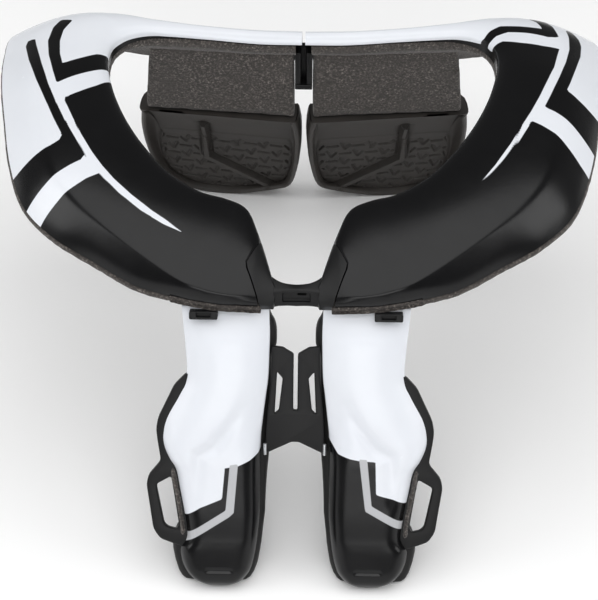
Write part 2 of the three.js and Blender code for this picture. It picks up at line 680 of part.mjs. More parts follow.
function ribBar(x0, y0, x1, y1) {
  const length = Math.hypot(x1 - x0, y1 - y0);
  const bar = box(-REAR_RIB / 2, length + REAR_RIB / 2, -REAR_RIB / 2, REAR_RIB / 2, -1, REAR_RIB);
  bar.rotateZ(Math.atan2(y1 - y0, x1 - x0));
  return toSolid(bar.translate(x0, y0, -REAR_PAD_DISH));
}
const ribTurn = [REAR_PAD_WIDTH * 0.64, -rearLength * 0.5];
const ribs = ribBar(REAR_PAD_WIDTH * 0.64, -rearLength * 0.2, ...ribTurn)
  .add(ribBar(...ribTurn, REAR_PAD_WIDTH * 0.23, -rearLength * 0.84));
const roof = box(-BEYOND, BEYOND, -BEYOND, BEYOND, RISER_FOOT - GAP, BEYOND);
const rearFloor = toSolid(inGroup(bigFloor, rearRight));
const rearRoof = toSolid(inGroup(roof, rearRight));
const rearBody = rearOuter.subtract(rearDish).add(ribs.intersect(rearOuter));
const rearSolid = trimmed(rearBody, rearFloor, rearRoof);

// Materials
function plastic(color, roughness) {
  return new THREE.MeshStandardMaterial({ color, roughness, metalness: 0 });
}
const glossBlack = plastic(0x141416, 0.25);
const glossWhite = plastic(0xeef0f3, 0.3);
const nylon = plastic(0x101012, 0.5);
const felt = plastic(0x3f3b38, 0.95);
const foam = plastic(0x2b2a2b, 0.8);

// Assembly
const brace = new THREE.Group();
brace.name = 'neck_brace';
brace.add(chest, rearLeft, rearRight);

function place(name, geometry, material, parent = brace) {
  const mesh = new THREE.Mesh(geometry, material);
  mesh.name = name;
  parent.add(mesh);
}

function pair(name, solid, material, left = brace, right = brace) {
  const geometry = toGeometry(solid);
  place(`${name}_right`, geometry, material, right);
  place(`${name}_left`, mirrored(geometry), material, left);
}

pair('collar_shell', shellSolid, glossBlack);
pair('collar_liner', linerSolid, felt);
pair('collar_end_cap', capSolid, nylon);
place('front_bridge', toGeometry(bridgeSolid), nylon);
pair('chest_cover', coverSolid, glossWhite, chest, chest);
pair('chest_pad', padSolid, foam, chest, chest);
pair('strap_frame', frameSolid, nylon, chest, chest);
place('chest_link', linkGeometry, nylon, chest);
pair('adjuster_socket', socketSolid, nylon, chest, chest);
pair('rear_riser', riserSolid, felt);
place('rear_closure', toGeometry(closureSolid), nylon);
pair('rear_pad', rearSolid, foam, rearLeft, rearRight);

// The origin is the middle of the footprint, on the floor
brace.updateMatrixWorld(true);
const extent = new THREE.Box3().setFromObject(brace, true);
brace.position.y = -(extent.min.y + extent.max.y) / 2;

export default brace;
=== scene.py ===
import math

import bpy
import numpy as np
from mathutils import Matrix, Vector, noise


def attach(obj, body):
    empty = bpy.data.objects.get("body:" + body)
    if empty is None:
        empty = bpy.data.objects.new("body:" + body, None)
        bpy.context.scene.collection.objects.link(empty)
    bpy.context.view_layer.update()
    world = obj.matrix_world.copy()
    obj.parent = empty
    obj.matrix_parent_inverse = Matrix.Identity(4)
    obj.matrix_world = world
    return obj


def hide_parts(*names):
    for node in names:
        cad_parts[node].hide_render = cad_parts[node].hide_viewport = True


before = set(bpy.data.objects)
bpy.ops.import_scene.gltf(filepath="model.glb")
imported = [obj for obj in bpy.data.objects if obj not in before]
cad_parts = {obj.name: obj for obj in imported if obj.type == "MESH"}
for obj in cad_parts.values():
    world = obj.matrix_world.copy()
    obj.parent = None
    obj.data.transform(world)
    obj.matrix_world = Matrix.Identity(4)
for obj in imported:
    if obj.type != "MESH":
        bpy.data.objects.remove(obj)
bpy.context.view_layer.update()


# Camera
# The photograph looks down on the brace from the front at 45 degrees, with a long lens, so
# that the far rear pads show through the neck hollow.
camera_data = bpy.data.cameras.new("camera")
camera_data.lens = 149.35
camera_data.sensor_width = 36.0
camera_data.clip_end = 20.0
camera = bpy.data.objects.new("camera", camera_data)
bpy.context.collection.objects.link(camera)
camera.location = Vector((0.01703, -0.83983, 0.87527))
camera_aim = Vector((0.00013, -0.02193, 0.06700))
camera.rotation_euler = (camera_aim - camera.location).to_track_quat("-Z", "Y").to_euler()
bpy.context.scene.camera = camera


# Collar shells
# Two rigid ABS mouldings that meet at the back, gloss black with in-moulded white bands.
# Each has a rolled neck edge, a domed top, a soft shoulder crease and a thin skirt.
MM = 0.001
GAP = 0.3
COLLAR_HALF = 141.0
COLLAR_DEPTH = 184.0
COLLAR_RISE = 29.0
HALF_SEAM = 0.8
SPLAY = math.radians(31.7)
CHEST_LENGTH = 125.5
CHEST_TOP = CHEST_LENGTH * math.cos(SPLAY)
LIP_HEIGHT = CHEST_TOP + 8.0
FRONT_SHIFT = -75.231
SHELL_WALL = 2.4
RIM_ROLL = 3.2
RIM_DROP = 6.0
TOP_CROWN = 3.0
SKIRT_BOW = 1.2

# Rim, crease and lip down one half, from the throat round the shoulder to the back seam:
# x, y, z of each as shares of half width, depth and rise, then the neck wall's drop.
STATIONS = np.array([
    (0.059, 0.048, 0.24, 0.062, 0.015, 0.14, 0.062, 0.004, 0, 0.5),
    (0.091, 0.125, 0.38, 0.11, 0.009, 0.17, 0.11, 0.002, 0, 0.7),
    (0.124, 0.195, 0.52, 0.163, 0.004, 0.22, 0.167, 0, 0.02, 1),
    (0.146, 0.237, 0.59, 0.213, 0.003, 0.25, 0.22, 0, 0.03, 1),
    (0.174, 0.258, 0.64, 0.27, 0.007, 0.3, 0.28, 0.003, 0.06, 1),
    (0.227, 0.27, 0.7, 0.348, 0.022, 0.39, 0.365, 0.015, 0.09, 1),
    (0.309, 0.285, 0.76, 0.461, 0.078, 0.52, 0.496, 0.051, 0.1, 1),
    (0.407, 0.339, 0.83, 0.596, 0.157, 0.67, 0.642, 0.124, 0.17, 1),
    (0.492, 0.422, 0.9, 0.706, 0.237, 0.79, 0.77, 0.19, 0.26, 1),
    (0.554, 0.505, 0.95, 0.784, 0.323, 0.88, 0.869, 0.279, 0.34, 1),
    (0.6, 0.593, 0.98, 0.831, 0.426, 0.94, 0.929, 0.413, 0.43, 1),
    (0.628, 0.675, 1, 0.865, 0.546, 0.97, 0.966, 0.567, 0.54, 1),
    (0.638, 0.734, 1, 0.885, 0.66, 0.98, 0.992, 0.698, 0.57, 1),
    (0.632, 0.787, 0.98, 0.883, 0.779, 0.94, 1, 0.812, 0.53, 1),
    (0.613, 0.818, 0.95, 0.858, 0.874, 0.92, 0.986, 0.91, 0.47, 0.8),
    (0.578, 0.846, 0.91, 0.78, 0.926, 0.89, 0.894, 0.975, 0.28, 0.6),
    (0.515, 0.869, 0.83, 0.652, 0.94, 0.86, 0.727, 0.991, 0.05, 0.4),
    (0.426, 0.88, 0.74, 0.496, 0.932, 0.79, 0.539, 0.989, -0.09, 0.2),
    (0.305, 0.886, 0.65, 0.351, 0.927, 0.71, 0.369, 0.994, -0.17, 0.1),
    (0.142, 0.893, 0.54, 0.16, 0.928, 0.61, 0.167, 0.998, -0.2, 0.1),
    (0, 0.903, 0.48, 0, 0.942, 0.52, 0, 1, -0.21, 0.1),
])
LAST = len(STATIONS) - 1


def collar_points(shares):
    x = HALF_SEAM + shares[:, 0] * (COLLAR_HALF - HALF_SEAM)
    y = shares[:, 1] * COLLAR_DEPTH + FRONT_SHIFT
    z = LIP_HEIGHT + shares[:, 2] * COLLAR_RISE
    return np.stack([x, y, z], 1)


RIM = collar_points(STATIONS[:, 0:3])
CREASE = collar_points(STATIONS[:, 3:6])
LIP = collar_points(STATIONS[:, 6:9])


def spline(points, at):
    """A smooth curve through points, at a fractional index."""
    points = np.asarray(points, float)
    last = len(points) - 1
    i = min(int(at), last - 1)
    t = at - i
    b, c = points[i], points[i + 1]
    a = points[i - 1] if i > 0 else 2 * b - c
    d = points[i + 2] if i + 2 <= last else 2 * c - b
    into, out = (c - a) / 2, (d - b) / 2
    h = (2 * t**3 - 3 * t**2 + 1, t**3 - 2 * t**2 + t, -2 * t**3 + 3 * t**2, t**3 - t**2)
    return h[0] * b + h[1] * into + h[2] * c + h[3] * out


def smooth(t):
    t = min(max(t, 0.0), 1.0)
    return t * t * (3 - 2 * t)


def section(station, inset=0.0, past=0.0):
    """One collar section in mm, from the foot of the neck wall over the top to the lip."""
    rim, crease, lip = spline(RIM, station), spline(CREASE, station), spline(LIP, station)
    drop = RIM_DROP * np.interp(station, range(LAST + 1), STATIONS[:, 9])
    top_way, skirt_way = crease[:2] - rim[:2], lip[:2] - crease[:2]
    across, skirt = np.hypot(*top_way), np.hypot(*skirt_way)
    crease_up, lip_up = crease[2] - rim[2], lip[2] - rim[2]
    roll = min(RIM_ROLL - 1.2 * smooth((station - 14.5) / 2), across * 0.45)
    crown = TOP_CROWN * min(1, across / 30)
    soft = min(0.9 + 4.1 * smooth((station - 6) / 5), across * 0.3, skirt * 0.6)

    def top(x):
        t = x / across
        return crease_up * t + crown * 4 * t * (1 - t) * min(1, x / roll)

    def side(t):
        x = across + skirt * t + SKIRT_BOW * 4 * t * (1 - t)
        return np.array([x, crease_up + (lip_up - crease_up) * t])

    line = [(0, -roll - drop * t) for t in (1, 0.8, 0.4, 0)]
    for k in range(1, 8):
        a = math.pi / 2 * k / 8
        line.append((roll - roll * math.cos(a), -roll + roll * math.sin(a)))
    for t in np.linspace(0, 1, 15):
        x = roll + (across - soft - roll) * t
        line.append((x, top(x)))
    first = soft / max(skirt, 1e-6) * 0.6
    begin, corner, end = np.array(line[-1]), np.array([across, crease_up]), side(first)
    for t in (0.2, 0.4, 0.6, 0.8, 1.0):
        line.append(tuple(begin * (1 - t) ** 2 + corner * 2 * t * (1 - t) + end * t * t))
    for t in np.linspace(first, 1, 9)[1:]:
        line.append(tuple(side(t)))
    line = np.array(line)
    for _ in range(2):
        line[1:-1] = (line[:-2] + 2 * line[1:-1] + line[2:]) / 4
    way = np.gradient(line, axis=0)
    way /= np.linalg.norm(way, axis=1)[:, None] + 1e-9
    if inset:
        line = line + np.stack([way[:, 1], -way[:, 0]], 1) * inset
    if past:
        line[-1] += way[-1] * past / max(-way[-1][1], 0.3)
        line[-2] += (line[-1] - line[-2]) * 0.25
        line[0, 1] -= past
    top_way, skirt_way = top_way / across, skirt_way / max(skirt, 1e-6)
    reach = np.minimum(line[:, 0], across)
    xy = rim[:2] + reach[:, None] * top_way + (line[:, 0] - reach)[:, None] * skirt_way
    return np.column_stack([xy, rim[2] + line[:, 1]])


SECTION_POINTS = len(section(5.0))

# The arrow-shaped seam between a shell and its end cap: y and x in plan, and the first
# station that lies wholly past it
CAP_MOUTH = 14.5
CAP_REACH = 22.5
CAP_SEAM = ((-80.23, CAP_MOUTH), (-60.88, CAP_REACH), (-43.9, CAP_MOUTH))
PAST_SEAM = 4.0


def seam_station(i, grow):
    """The station at which section point i crosses the seam, grown outwards in mm."""
    low, high = 0.0, PAST_SEAM
    for _ in range(18):
        middle = (low + high) / 2
        p = section(middle)[i]
        seam_x = np.interp(p[1], [s[0] for s in CAP_SEAM], [s[1] for s in CAP_SEAM]) + grow
        if p[0] > seam_x:
            high = middle
        else:
            low = middle
    return (low + high) / 2


def rings_to_mesh(name, rings, side):
    """A mesh through rings of points in mm, closed by a fan at each end, mirrored for side -1."""
    rings = np.array(rings)
    count, size = rings.shape[:2]
    verts = rings.reshape(-1, 3)
    faces = []
    for j in range(count - 1):
        for i in range(size):
            k = (i + 1) % size
            faces.append((j * size + i, (j + 1) * size + i, (j + 1) * size + k, j * size + k))
    for j, flip in ((0, False), (count - 1, True)):
        verts = np.vstack([verts, rings[j].mean(0)])
        centre = len(verts) - 1
        for i in range(size):
            a, b = j * size + i, j * size + (i + 1) % size
            faces.append((centre, b, a) if flip else (centre, a, b))
    return mesh_piece(name, verts, faces, side)


def mesh_piece(name, verts, faces, side=1, sharp=40):
    """An object from points in mm, mirrored for side -1, with its faces pointing out."""
    verts = np.array(verts, float) * MM
    verts[:, 0] *= side
    if side < 0:
        faces = [tuple(reversed(f)) for f in faces]
    mesh = bpy.data.meshes.new(name)
    mesh.from_pydata(verts.tolist(), [], [tuple(int(k) for k in f) for f in faces])
    mesh.validate()
    mesh.calc_loop_triangles()
    volume = 0.0
    for triangle in mesh.loop_triangles:
        a, b, c = (mesh.vertices[k].co for k in triangle.vertices)
        volume += a.dot(b.cross(c))
    if volume < 0:
        mesh.flip_normals()
    mesh.shade_smooth()
    mesh.set_sharp_from_angle(angle=math.radians(sharp))
    piece = bpy.data.objects.new(name, mesh)
    bpy.context.collection.objects.link(piece)
    return piece


def distance_outside(outline, points):
    """Signed distance in mm from each point to a closed outline, below 0 inside it."""
    outline = np.array(outline, float)
    nearest = np.full(len(points), 1e9)
    inside = np.zeros(len(points), bool)
    for a, b in zip(outline, np.roll(outline, -1, axis=0)):
        edge = b - a
        t = np.clip(((points - a) @ edge) / (edge @ edge + 1e-12), 0, 1)
        nearest = np.minimum(nearest, np.linalg.norm(points - a - t[:, None] * edge, axis=1))
        crosses = (a[1] > points[:, 1]) != (b[1] > points[:, 1])
        x = a[0] + (points[:, 1] - a[1]) * edge[0] / (edge[1] if edge[1] else 1e-12)
        inside ^= crosses & (points[:, 0] < x)
    return np.where(inside, -nearest, nearest)


def store(piece, name, values):
    """Keeps a number for each point, which a material reads by its name."""
    layer = piece.data.attributes.new(name, "FLOAT", "POINT")
    layer.data.foreach_set("value", np.asarray(values, np.float32))


# Black areas of each shell in plan, mm from the middle of the brace, x outwards
BLACK_ON_SHELL = {
    "right": (
        ((85, 79.5), (87.7, 82.8), (92.5, 85.6), (101.4, 84.9), (112.2, 83.9), (111.6, 86.3),
         (109.8, 90.4), (106, 93.8), (110, 94.8), (114.4, 93.2), (117.5, 88.6), (120.1, 78.9),
         (114.5, 77.4), (105.4, 79.2), (95.9, 80.4), (90.5, 78.5), (87.5, 75.9), (80, 70), (75, 77)),
        ((129.4, 13.6), (125.1, 16.5), (119.9, 20.3), (114.8, 23.3), (110.3, 25.2), (113.6, 33.9),
         (118.2, 46.9), (122, 59.7), (124.5, 71.7), (124.9, 81.8), (123.6, 91), (127, 90),
         (130, 84), (130.8, 79), (129.8, 69.7), (126.5, 56.5), (123.3, 44.8), (121.3, 39),
         (126.8, 35.6), (132.6, 33.1), (146, 29), (143, 6)),
        ((119.6, 69.5), (118.3, 63.7), (116.3, 54), (112.6, 43.5), (108.5, 32.2), (104, 21.5),
         (99.3, 11.9), (94.4, 1.5), (87, -11.5), (79.2, -23), (74, -38), (60, -95), (0, -90),
         (0, 20), (66, 66), (88.4, 72), (90.4, 73.2), (93.3, 74), (95.6, 73.3), (101.9, 71.4),
         (111.8, 69.6)),
        ((104.3, 15.6), (97.3, 1.2), (88.9, -12.7), (80.8, -24.4), (72, -30), (60, -95), (150, -80),
         (152, -14), (125.9, -0.4), (120.3, 3.9), (115, 9.1), (108.6, 13.3)),
    ),
    "left": (
        ((114.5, 87.8), (117.7, 81.2), (119.2, 70.6), (117.7, 59), (114.6, 46.5), (112, 37.3),
         (105.4, 41.4), (97.7, 45.7), (90.9, 49.6), (80, 55), (78, 63), (91.3, 60.6), (95.2, 59.4),
         (101.9, 55.3), (110.4, 50.8), (112.3, 58.5), (113.3, 69), (112.4, 77.7), (108.7, 86.2)),
        ((130.2, 72.5), (129.4, 76.7), (125.8, 75.5), (124.9, 70.8), (120.5, 53.3), (115.9, 37.5),
         (110.9, 23.8), (106, 12.2), (100.2, 0.6), (94.7, -10.3), (101.9, -14.5), (110.7, -20.4),
         (115.8, -23.2), (121, -26.4), (140, -38), (146, -10), (126.1, -7.3), (117, -4.5),
         (110.8, -1.9), (105.9, 1.8), (110.8, 12.6), (116, 26), (122, 42), (127.2, 59)),
        ((87.8, 42.3), (93.7, 36.5), (101.2, 31.2), (107.9, 26.9), (102.8, 14.2), (97.9, 3.2),
         (92.4, -7.2), (87.4, -14.9), (81.6, -22.3), (73.7, -30.4), (63.6, -39), (50, -47.7),
         (40, -80), (0, -90), (0, 20), (66, 52)),
        ((50.8, -48.8), (58.4, -45.5), (68.4, -39.3), (78.7, -30.5), (86, -22.6), (88.5, -19.4),
         (93.7, -21.9), (100.5, -26.9), (106, -30.4), (111.8, -33.6), (118, -37.5), (140, -50),
         (150, -70), (60, -95), (38, -80), (42, -46)),
    ),
}


def linear(code):
    """A #rrggbb colour as linear RGBA."""
    values = [int(code[i:i + 2], 16) / 255 for i in (1, 3, 5)]
    return (*[v / 12.92 if v <= 0.04045 else ((v + 0.055) / 1.055) ** 2.4 for v in values], 1.0)


def feed(node, inputs):
    """Sets inputs of a node: each is a number, a colour or another node's output."""
    for key, value in inputs.items():
        if isinstance(value, bpy.types.NodeSocket):
            node.id_data.links.new(value, node.inputs[key])
        else:
            node.inputs[key].default_value = value


def add(tree, kind, settings, inputs):
    """Adds a node with its settings and links."""
    node = tree.nodes.new(kind)
    for key, value in settings.items():
        setattr(node, key, value)
    feed(node, inputs)
    return node


def every(spacing):
    """The scale of a pattern that repeats about every so many mm."""
    return 1 / (spacing * MM)


def new_material(name):
    """A material with its node tree and its shader."""
    material = bpy.data.materials.new(name)
    material.use_nodes = True
    tree = material.node_tree
    return material, tree, tree.nodes["Principled BSDF"]


def film_finish(tree, shader, place, strength, film_edge=None):
    """In-mould film: gloss that wavers every 8 mm, orange peel every 2 mm, a raised film edge."""
    haze = add(tree, "ShaderNodeTexNoise", {},
               {"Vector": place, "Scale": every(8.333), "Detail": 5.0})
    gloss = add(tree, "ShaderNodeMapRange", {},
                {"Value": haze.outputs["Fac"], "To Min": 0.2, "To Max": 0.3})
    peel = add(tree, "ShaderNodeTexNoise", {},
               {"Vector": place, "Scale": every(2.222), "Detail": 2.0})
    height = peel.outputs["Fac"]
    if film_edge is not None:
        height = add(tree, "ShaderNodeMath", {"operation": "MULTIPLY_ADD"},
                     {0: film_edge, 1: 0.6, 2: height}).outputs["Value"]
    ripple = add(tree, "ShaderNodeBump", {},
                 {"Height": height, "Strength": strength, "Distance": 0.2 * MM})
    feed(shader, {"Roughness": gloss.outputs["Result"], "Normal": ripple.outputs["Normal"],
                  "IOR": 1.5, "Specular IOR Level": 0.3})


# Injection-moulded ABS with in-mould film: deep gloss with a faint orange-peel ripple, so
# highlights are soft-edged and waver a little; both colours drift slightly every 29 mm.
gloss_abs, tree, shader = new_material("gloss_abs_in_mould_film")
place = add(tree, "ShaderNodeTexCoord", {}, {}).outputs["Object"]
paint = add(tree, "ShaderNodeAttribute", {"attribute_name": "paint"}, {}).outputs["Fac"]
edge = add(tree, "ShaderNodeMapRange", {"interpolation_type": "SMOOTHSTEP"},
           {"Value": paint, "From Min": -0.15, "From Max": 0.15}).outputs["Result"]
cloud = add(tree, "ShaderNodeTexNoise", {},
            {"Vector": place, "Scale": every(28.57), "Detail": 3.0})
black = add(tree, "ShaderNodeMix", {"data_type": "RGBA"},
            {"Factor": cloud.outputs["Fac"], "A": linear("#050506"), "B": linear("#09090b")})
white = add(tree, "ShaderNodeMix", {"data_type": "RGBA"},
            {"Factor": cloud.outputs["Fac"], "A": linear("#dcdfe5"), "B": linear("#e6e9ee")})
coat = add(tree, "ShaderNodeMix", {"data_type": "RGBA"},
           {"Factor": edge, "A": black.outputs["Result"], "B": white.outputs["Result"]})
feed(shader, {"Base Color": coat.outputs["Result"]})
film_finish(tree, shader, place, 0.1, edge)

seam_starts = [seam_station(i, GAP) for i in range(SECTION_POINTS)]


def shell_ring(stations):
    """A ring of the shell: its outer face, then its inner face, at a station for each point."""
    if len(set(stations)) == 1:
        outer = section(stations[0])
        inner = section(stations[0], inset=SHELL_WALL)
    else:
        outer = np.array([section(s)[i] for i, s in enumerate(stations)])
        inner = np.array([section(s, inset=SHELL_WALL)[i] for i, s in enumerate(stations)])
    inner[:, 2] = np.minimum(inner[:, 2], outer[:, 2] + SHELL_WALL)
    lip_edge = (outer[-1] + inner[-1]) / 2 - (outer[-2] - outer[-1]) * 0.25
    wall_edge = (outer[0] + inner[0]) / 2 + np.array([0, 0, -0.7])
    return np.vstack([outer, lip_edge, inner[::-1], wall_edge])


shell_rings = []
for t in np.linspace(0, 1, 22)[:-1]:
    shell_rings.append(shell_ring([s + (PAST_SEAM - s) * t for s in seam_starts]))
for s in np.linspace(PAST_SEAM, LAST, 190):
    shell_rings.append(shell_ring([s] * SECTION_POINTS))

for hand, side in (("right", 1), ("left", -1)):
    shell = rings_to_mesh(f"collar_shell_{hand}", shell_rings, side)
    size = 2 * SECTION_POINTS + 2
    flat = np.array(shell_rings).reshape(-1, 3)[:, :2]
    to_black = np.min([distance_outside(area, flat) for area in BLACK_ON_SHELL[hand]], axis=0)
    # The neck wall's foot, the inside and the two ends are black plastic without film
    place_in_ring = np.tile(np.arange(size), len(shell_rings))
    bare = (place_in_ring < 3) | (place_in_ring >= SECTION_POINTS)
    store(shell, "paint", np.append(np.where(bare, -5.0, to_black), [-5.0, -5.0]))
    shell.data.materials.append(gloss_abs)
    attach(shell, "root")
    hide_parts(f"collar_shell_{hand}")


# End caps
# Satin black nylon noses that close the front end of each shell; each meets the shell in an
# arrow-shaped seam and is a snap fit, with a soft edge all round.
# Moulded nylon: a dull, even sheen from a fine spark-eroded tool texture, drawn at 0.4 mm.
satin_nylon, tree, shader = new_material("satin_moulded_nylon")
place = add(tree, "ShaderNodeTexCoord", {}, {}).outputs["Object"]
grain = add(tree, "ShaderNodeTexNoise", {},
            {"Vector": place, "Scale": every(0.4), "Detail": 3.0})
cloud = add(tree, "ShaderNodeTexNoise", {},
            {"Vector": place, "Scale": every(16.67), "Detail": 4.0})
tone = add(tree, "ShaderNodeMix", {"data_type": "RGBA"},
           {"Factor": cloud.outputs["Fac"], "A": linear("#070708"), "B": linear("#0f0f10")})
dull = add(tree, "ShaderNodeMapRange", {},
           {"Value": cloud.outputs["Fac"], "To Min": 0.38, "To Max": 0.55})
spark = add(tree, "ShaderNodeBump", {},
            {"Height": grain.outputs["Fac"], "Strength": 0.25, "Distance": 0.15 * MM})
feed(shader, {"Base Color": tone.outputs["Result"], "Roughness": dull.outputs["Result"],
              "Normal": spark.outputs["Normal"], "IOR": 1.53, "Specular IOR Level": 0.28})

CAP_SKIRT = 3.4
cap_ends = [seam_station(i, -GAP) for i in range(SECTION_POINTS)]
cap_rings = []
for t in np.linspace(0, 1, 26):
    cap_rings.append(np.array([section(s * t, past=CAP_SKIRT)[i] for i, s in enumerate(cap_ends)]))


def shrunk(ring, by):
    """A ring drawn in towards its middle by so many mm."""
    middle = ring.mean(0)
    away = ring - middle
    reach = np.linalg.norm(away, axis=1)[:, None]
    return middle + away * np.clip(1 - by / reach, 0.2, 1)


nose_rings = [shrunk(cap_rings[0], 1.4), shrunk(cap_rings[0], 0.6) + [0.25, 0, 0]]
cap_last = len(cap_rings) - 1
nose_rings += [ring + [0.6 * (1 - j / cap_last), 0, 0] for j, ring in enumerate(cap_rings[:-1])]
nose_rings += [shrunk(cap_rings[-1], 0.15), shrunk(cap_rings[-1], 0.7)]
for hand, side in (("right", 1), ("left", -1)):
    cap = rings_to_mesh(f"collar_end_cap_{hand}", nose_rings, side)
    cap.data.materials.append(satin_nylon)
    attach(cap, "root")
    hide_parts(f"collar_end_cap_{hand}")


# Collar liners
# Needle felt over soft padding, glued inside each shell and a little proud of its edges, with
# an arched hollow underneath where it sits on the shoulder.
LINER_PROUD = 2.5
LINER_INSET = SHELL_WALL + GAP
# Needle felt of mixed fibre: no gloss, a soft sheen at grazing angles, and grey and tan fibre
# ends in clumps 1 to 1.5 mm apart that read as speckle.
felt, tree, shader = new_material("speckled_needle_felt")
place = add(tree, "ShaderNodeTexCoord", {}, {}).outputs["Object"]
clumps = add(tree, "ShaderNodeTexNoise", {},
             {"Vector": place, "Scale": every(1.111), "Detail": 3.0, "Roughness": 0.7})
tufts = add(tree, "ShaderNodeTexVoronoi", {}, {"Vector": place, "Scale": every(1.25)})
patches = add(tree, "ShaderNodeTexNoise", {},
              {"Vector": place, "Scale": every(14.29), "Detail": 3.0})
speckle = add(tree, "ShaderNodeValToRGB", {}, {"Fac": clumps.outputs["Fac"]})
stops = speckle.color_ramp.elements
stops[0].position, stops[0].color = 0.36, linear("#1d1a18")
stops[1].position, stops[1].color = 0.7, linear("#a49c95")
for at, code in ((0.45, "#322e2c"), (0.53, "#4a4542"), (0.6, "#6c6661")):
    stop = stops.new(at)
    stop.color = linear(code)
worn = add(tree, "ShaderNodeMix", {"data_type": "RGBA"},
           {"Factor": patches.outputs["Fac"], "A": speckle.outputs["Color"], "B": linear("#413d3a")})
fuzz = add(tree, "ShaderNodeMath", {"operation": "MULTIPLY_ADD"},
           {0: tufts.outputs["Distance"], 1: 0.5, 2: clumps.outputs["Fac"]})
nap = add(tree, "ShaderNodeBump", {},
          {"Height": fuzz.outputs["Value"], "Strength": 0.6, "Distance": 0.5 * MM})
feed(shader, {"Base Color": worn.outputs["Result"], "Normal": nap.outputs["Normal"],
              "Roughness": 0.95, "Sheen Weight": 0.2, "Sheen Roughness": 0.6,
              "Specular IOR Level": 0.15})


def liner_ring(station):
    """The felt's section: over the padding, and out as a bound edge below the shell's edges."""
    proud = LINER_PROUD + 1.5 * smooth((station - 14) / 3)
    face = section(station, inset=LINER_INSET)
    shell_line = section(station)
    lip, foot = shell_line[-1], shell_line[0]
    out = lip - shell_line[-4]
    out[2] = 0
    out /= np.linalg.norm(out) + 1e-9
    across = shell_line[20] - foot
    across[2] = 0
    across /= np.linalg.norm(across) + 1e-9

    def welt(edge, way, reach):
        """A bound edge of felt that rolls out past a shell edge and under it."""
        steps = ((-1.6, -0.2), (-0.2, -0.35), (0.5, -0.9), (0.75, -1.8), (0.5, -2.8), (-0.6, -3.5))
        return [edge + way * a * reach + np.array([0, 0, b * proud / 2.6]) for a, b in steps]

    outer = welt(lip, out, 1.0)
    inner = welt(foot, -across, 0.6)[::-1]
    hidden = 1.6 * (1 - smooth((station - 2.3) / 0.5))
    inner = [p + across * hidden for p in inner]
    hollow = 7.0 * smooth((station - 2.6) / 2) * smooth((16.5 - station) / 2)
    under = []
    for t in np.linspace(0, 1, 13)[1:-1]:
        p = outer[-1] * (1 - t) + inner[0] * t
        bow = math.sin(math.pi * t) ** 0.6
        under.append(p + np.array([0, 0, hollow * bow]))
    return np.vstack([face[1:-1], outer, under, inner])


liner_rings = [liner_ring(s) for s in np.linspace(0.9, 19.85, 180)]
liner_rings.insert(0, shrunk(liner_rings[0], 1.0))
liner_rings.append(shrunk(liner_rings[-1], 1.0))


def roughen(piece, amount, scale):
    """Moves each point a little along its normal, so that a fibre surface isn't ruled."""
    mesh = piece.data
    normals = [v.normal.copy() for v in mesh.vertices]
    for v, n in zip(mesh.vertices, normals):
        v.co += n * noise.noise(v.co / scale) * amount
    mesh.update()


for hand, side in (("right", 1), ("left", -1)):
    liner = rings_to_mesh(f"collar_liner_{hand}", liner_rings, side)
    roughen(liner, 0.25 * MM, 3 * MM)
    liner.data.materials.append(felt)
    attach(liner, "root")
    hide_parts(f"collar_liner_{hand}")


# Front bridge
# One nylon moulding that joins the two end caps across the throat: a saddle that swells into
# the caps, with a recessed face and a slot for its release tab.
BRIDGE_HALF = 10.8
BRIDGE_TOP = LIP_HEIGHT + 0.24 * COLLAR_RISE - 0.9
BRIDGE_FRONT = FRONT_SHIFT + 4.8


def superellipse(count, square_across, square_up):
    """A rounded square of half size 1; a smaller number is squarer."""
    ring = []
    for k in range(count):
        c, s = math.cos(2 * math.pi * k / count), math.sin(2 * math.pi * k / count)
        ring.append((math.copysign(abs(c) ** square_across, c),
                     math.copysign(abs(s) ** square_up, s)))
    return ring


bridge_rings = []
for x in np.linspace(-BRIDGE_HALF, BRIDGE_HALF, 61):
    share = min(abs(x) / 10.5, 1.2)
    top = BRIDGE_TOP + 0.2 * share ** 2
    foot = BRIDGE_TOP - 10.4 - 0.8 * share ** 3
    front = BRIDGE_FRONT - 1.3 * share ** 3
    back = BRIDGE_FRONT + 4.2 + 4.0 * share ** 3
    middle_y, half_y = (front + back) / 2, (back - front) / 2
    middle_z, half_z = (top + foot) / 2, (top - foot) / 2
    bridge_rings.append(np.array([
        (x, middle_y - half_y * a, middle_z + half_z * b - 0.9 * share * a * b)
        for a, b in superellipse(72, 0.35, 0.35)]))
bridge = rings_to_mesh("front_bridge", bridge_rings, 1)


def block(name, low, high, bevel):
    """A bevelled block between two corners in mm, for cutting."""
    (x0, y0, z0), (x1, y1, z1) = low, high
    corners = [(x, y, z) for z in (z0, z1) for y in (y0, y1) for x in (x0, x1)]
    sides = [(0, 2, 3, 1), (4, 5, 7, 6), (0, 1, 5, 4), (2, 6, 7, 3), (0, 4, 6, 2), (1, 3, 7, 5)]
    piece = mesh_piece(name, corners, sides)
    rounding = piece.modifiers.new("rounding", "BEVEL")
    rounding.width = bevel * MM
    rounding.segments = 3
    return piece


def fix_modifiers(piece):
    """Makes the piece's modifiers part of its mesh for good."""
    bpy.context.view_layer.update()
    mesh = bpy.data.meshes.new_from_object(
        piece.evaluated_get(bpy.context.evaluated_depsgraph_get()))
    piece.modifiers.clear()
    old = piece.data
    piece.data = mesh
    bpy.data.meshes.remove(old)
    mesh.shade_smooth()
    return mesh


def cut(piece, cutter):
    """Cuts one solid out of another for good."""
    boolean = piece.modifiers.new("cut", "BOOLEAN")
    boolean.operation = "DIFFERENCE"
    boolean.solver = "EXACT"
    boolean.object = cutter
    fix_modifiers(piece).set_sharp_from_angle(angle=math.radians(35))
    bpy.data.objects.remove(cutter)


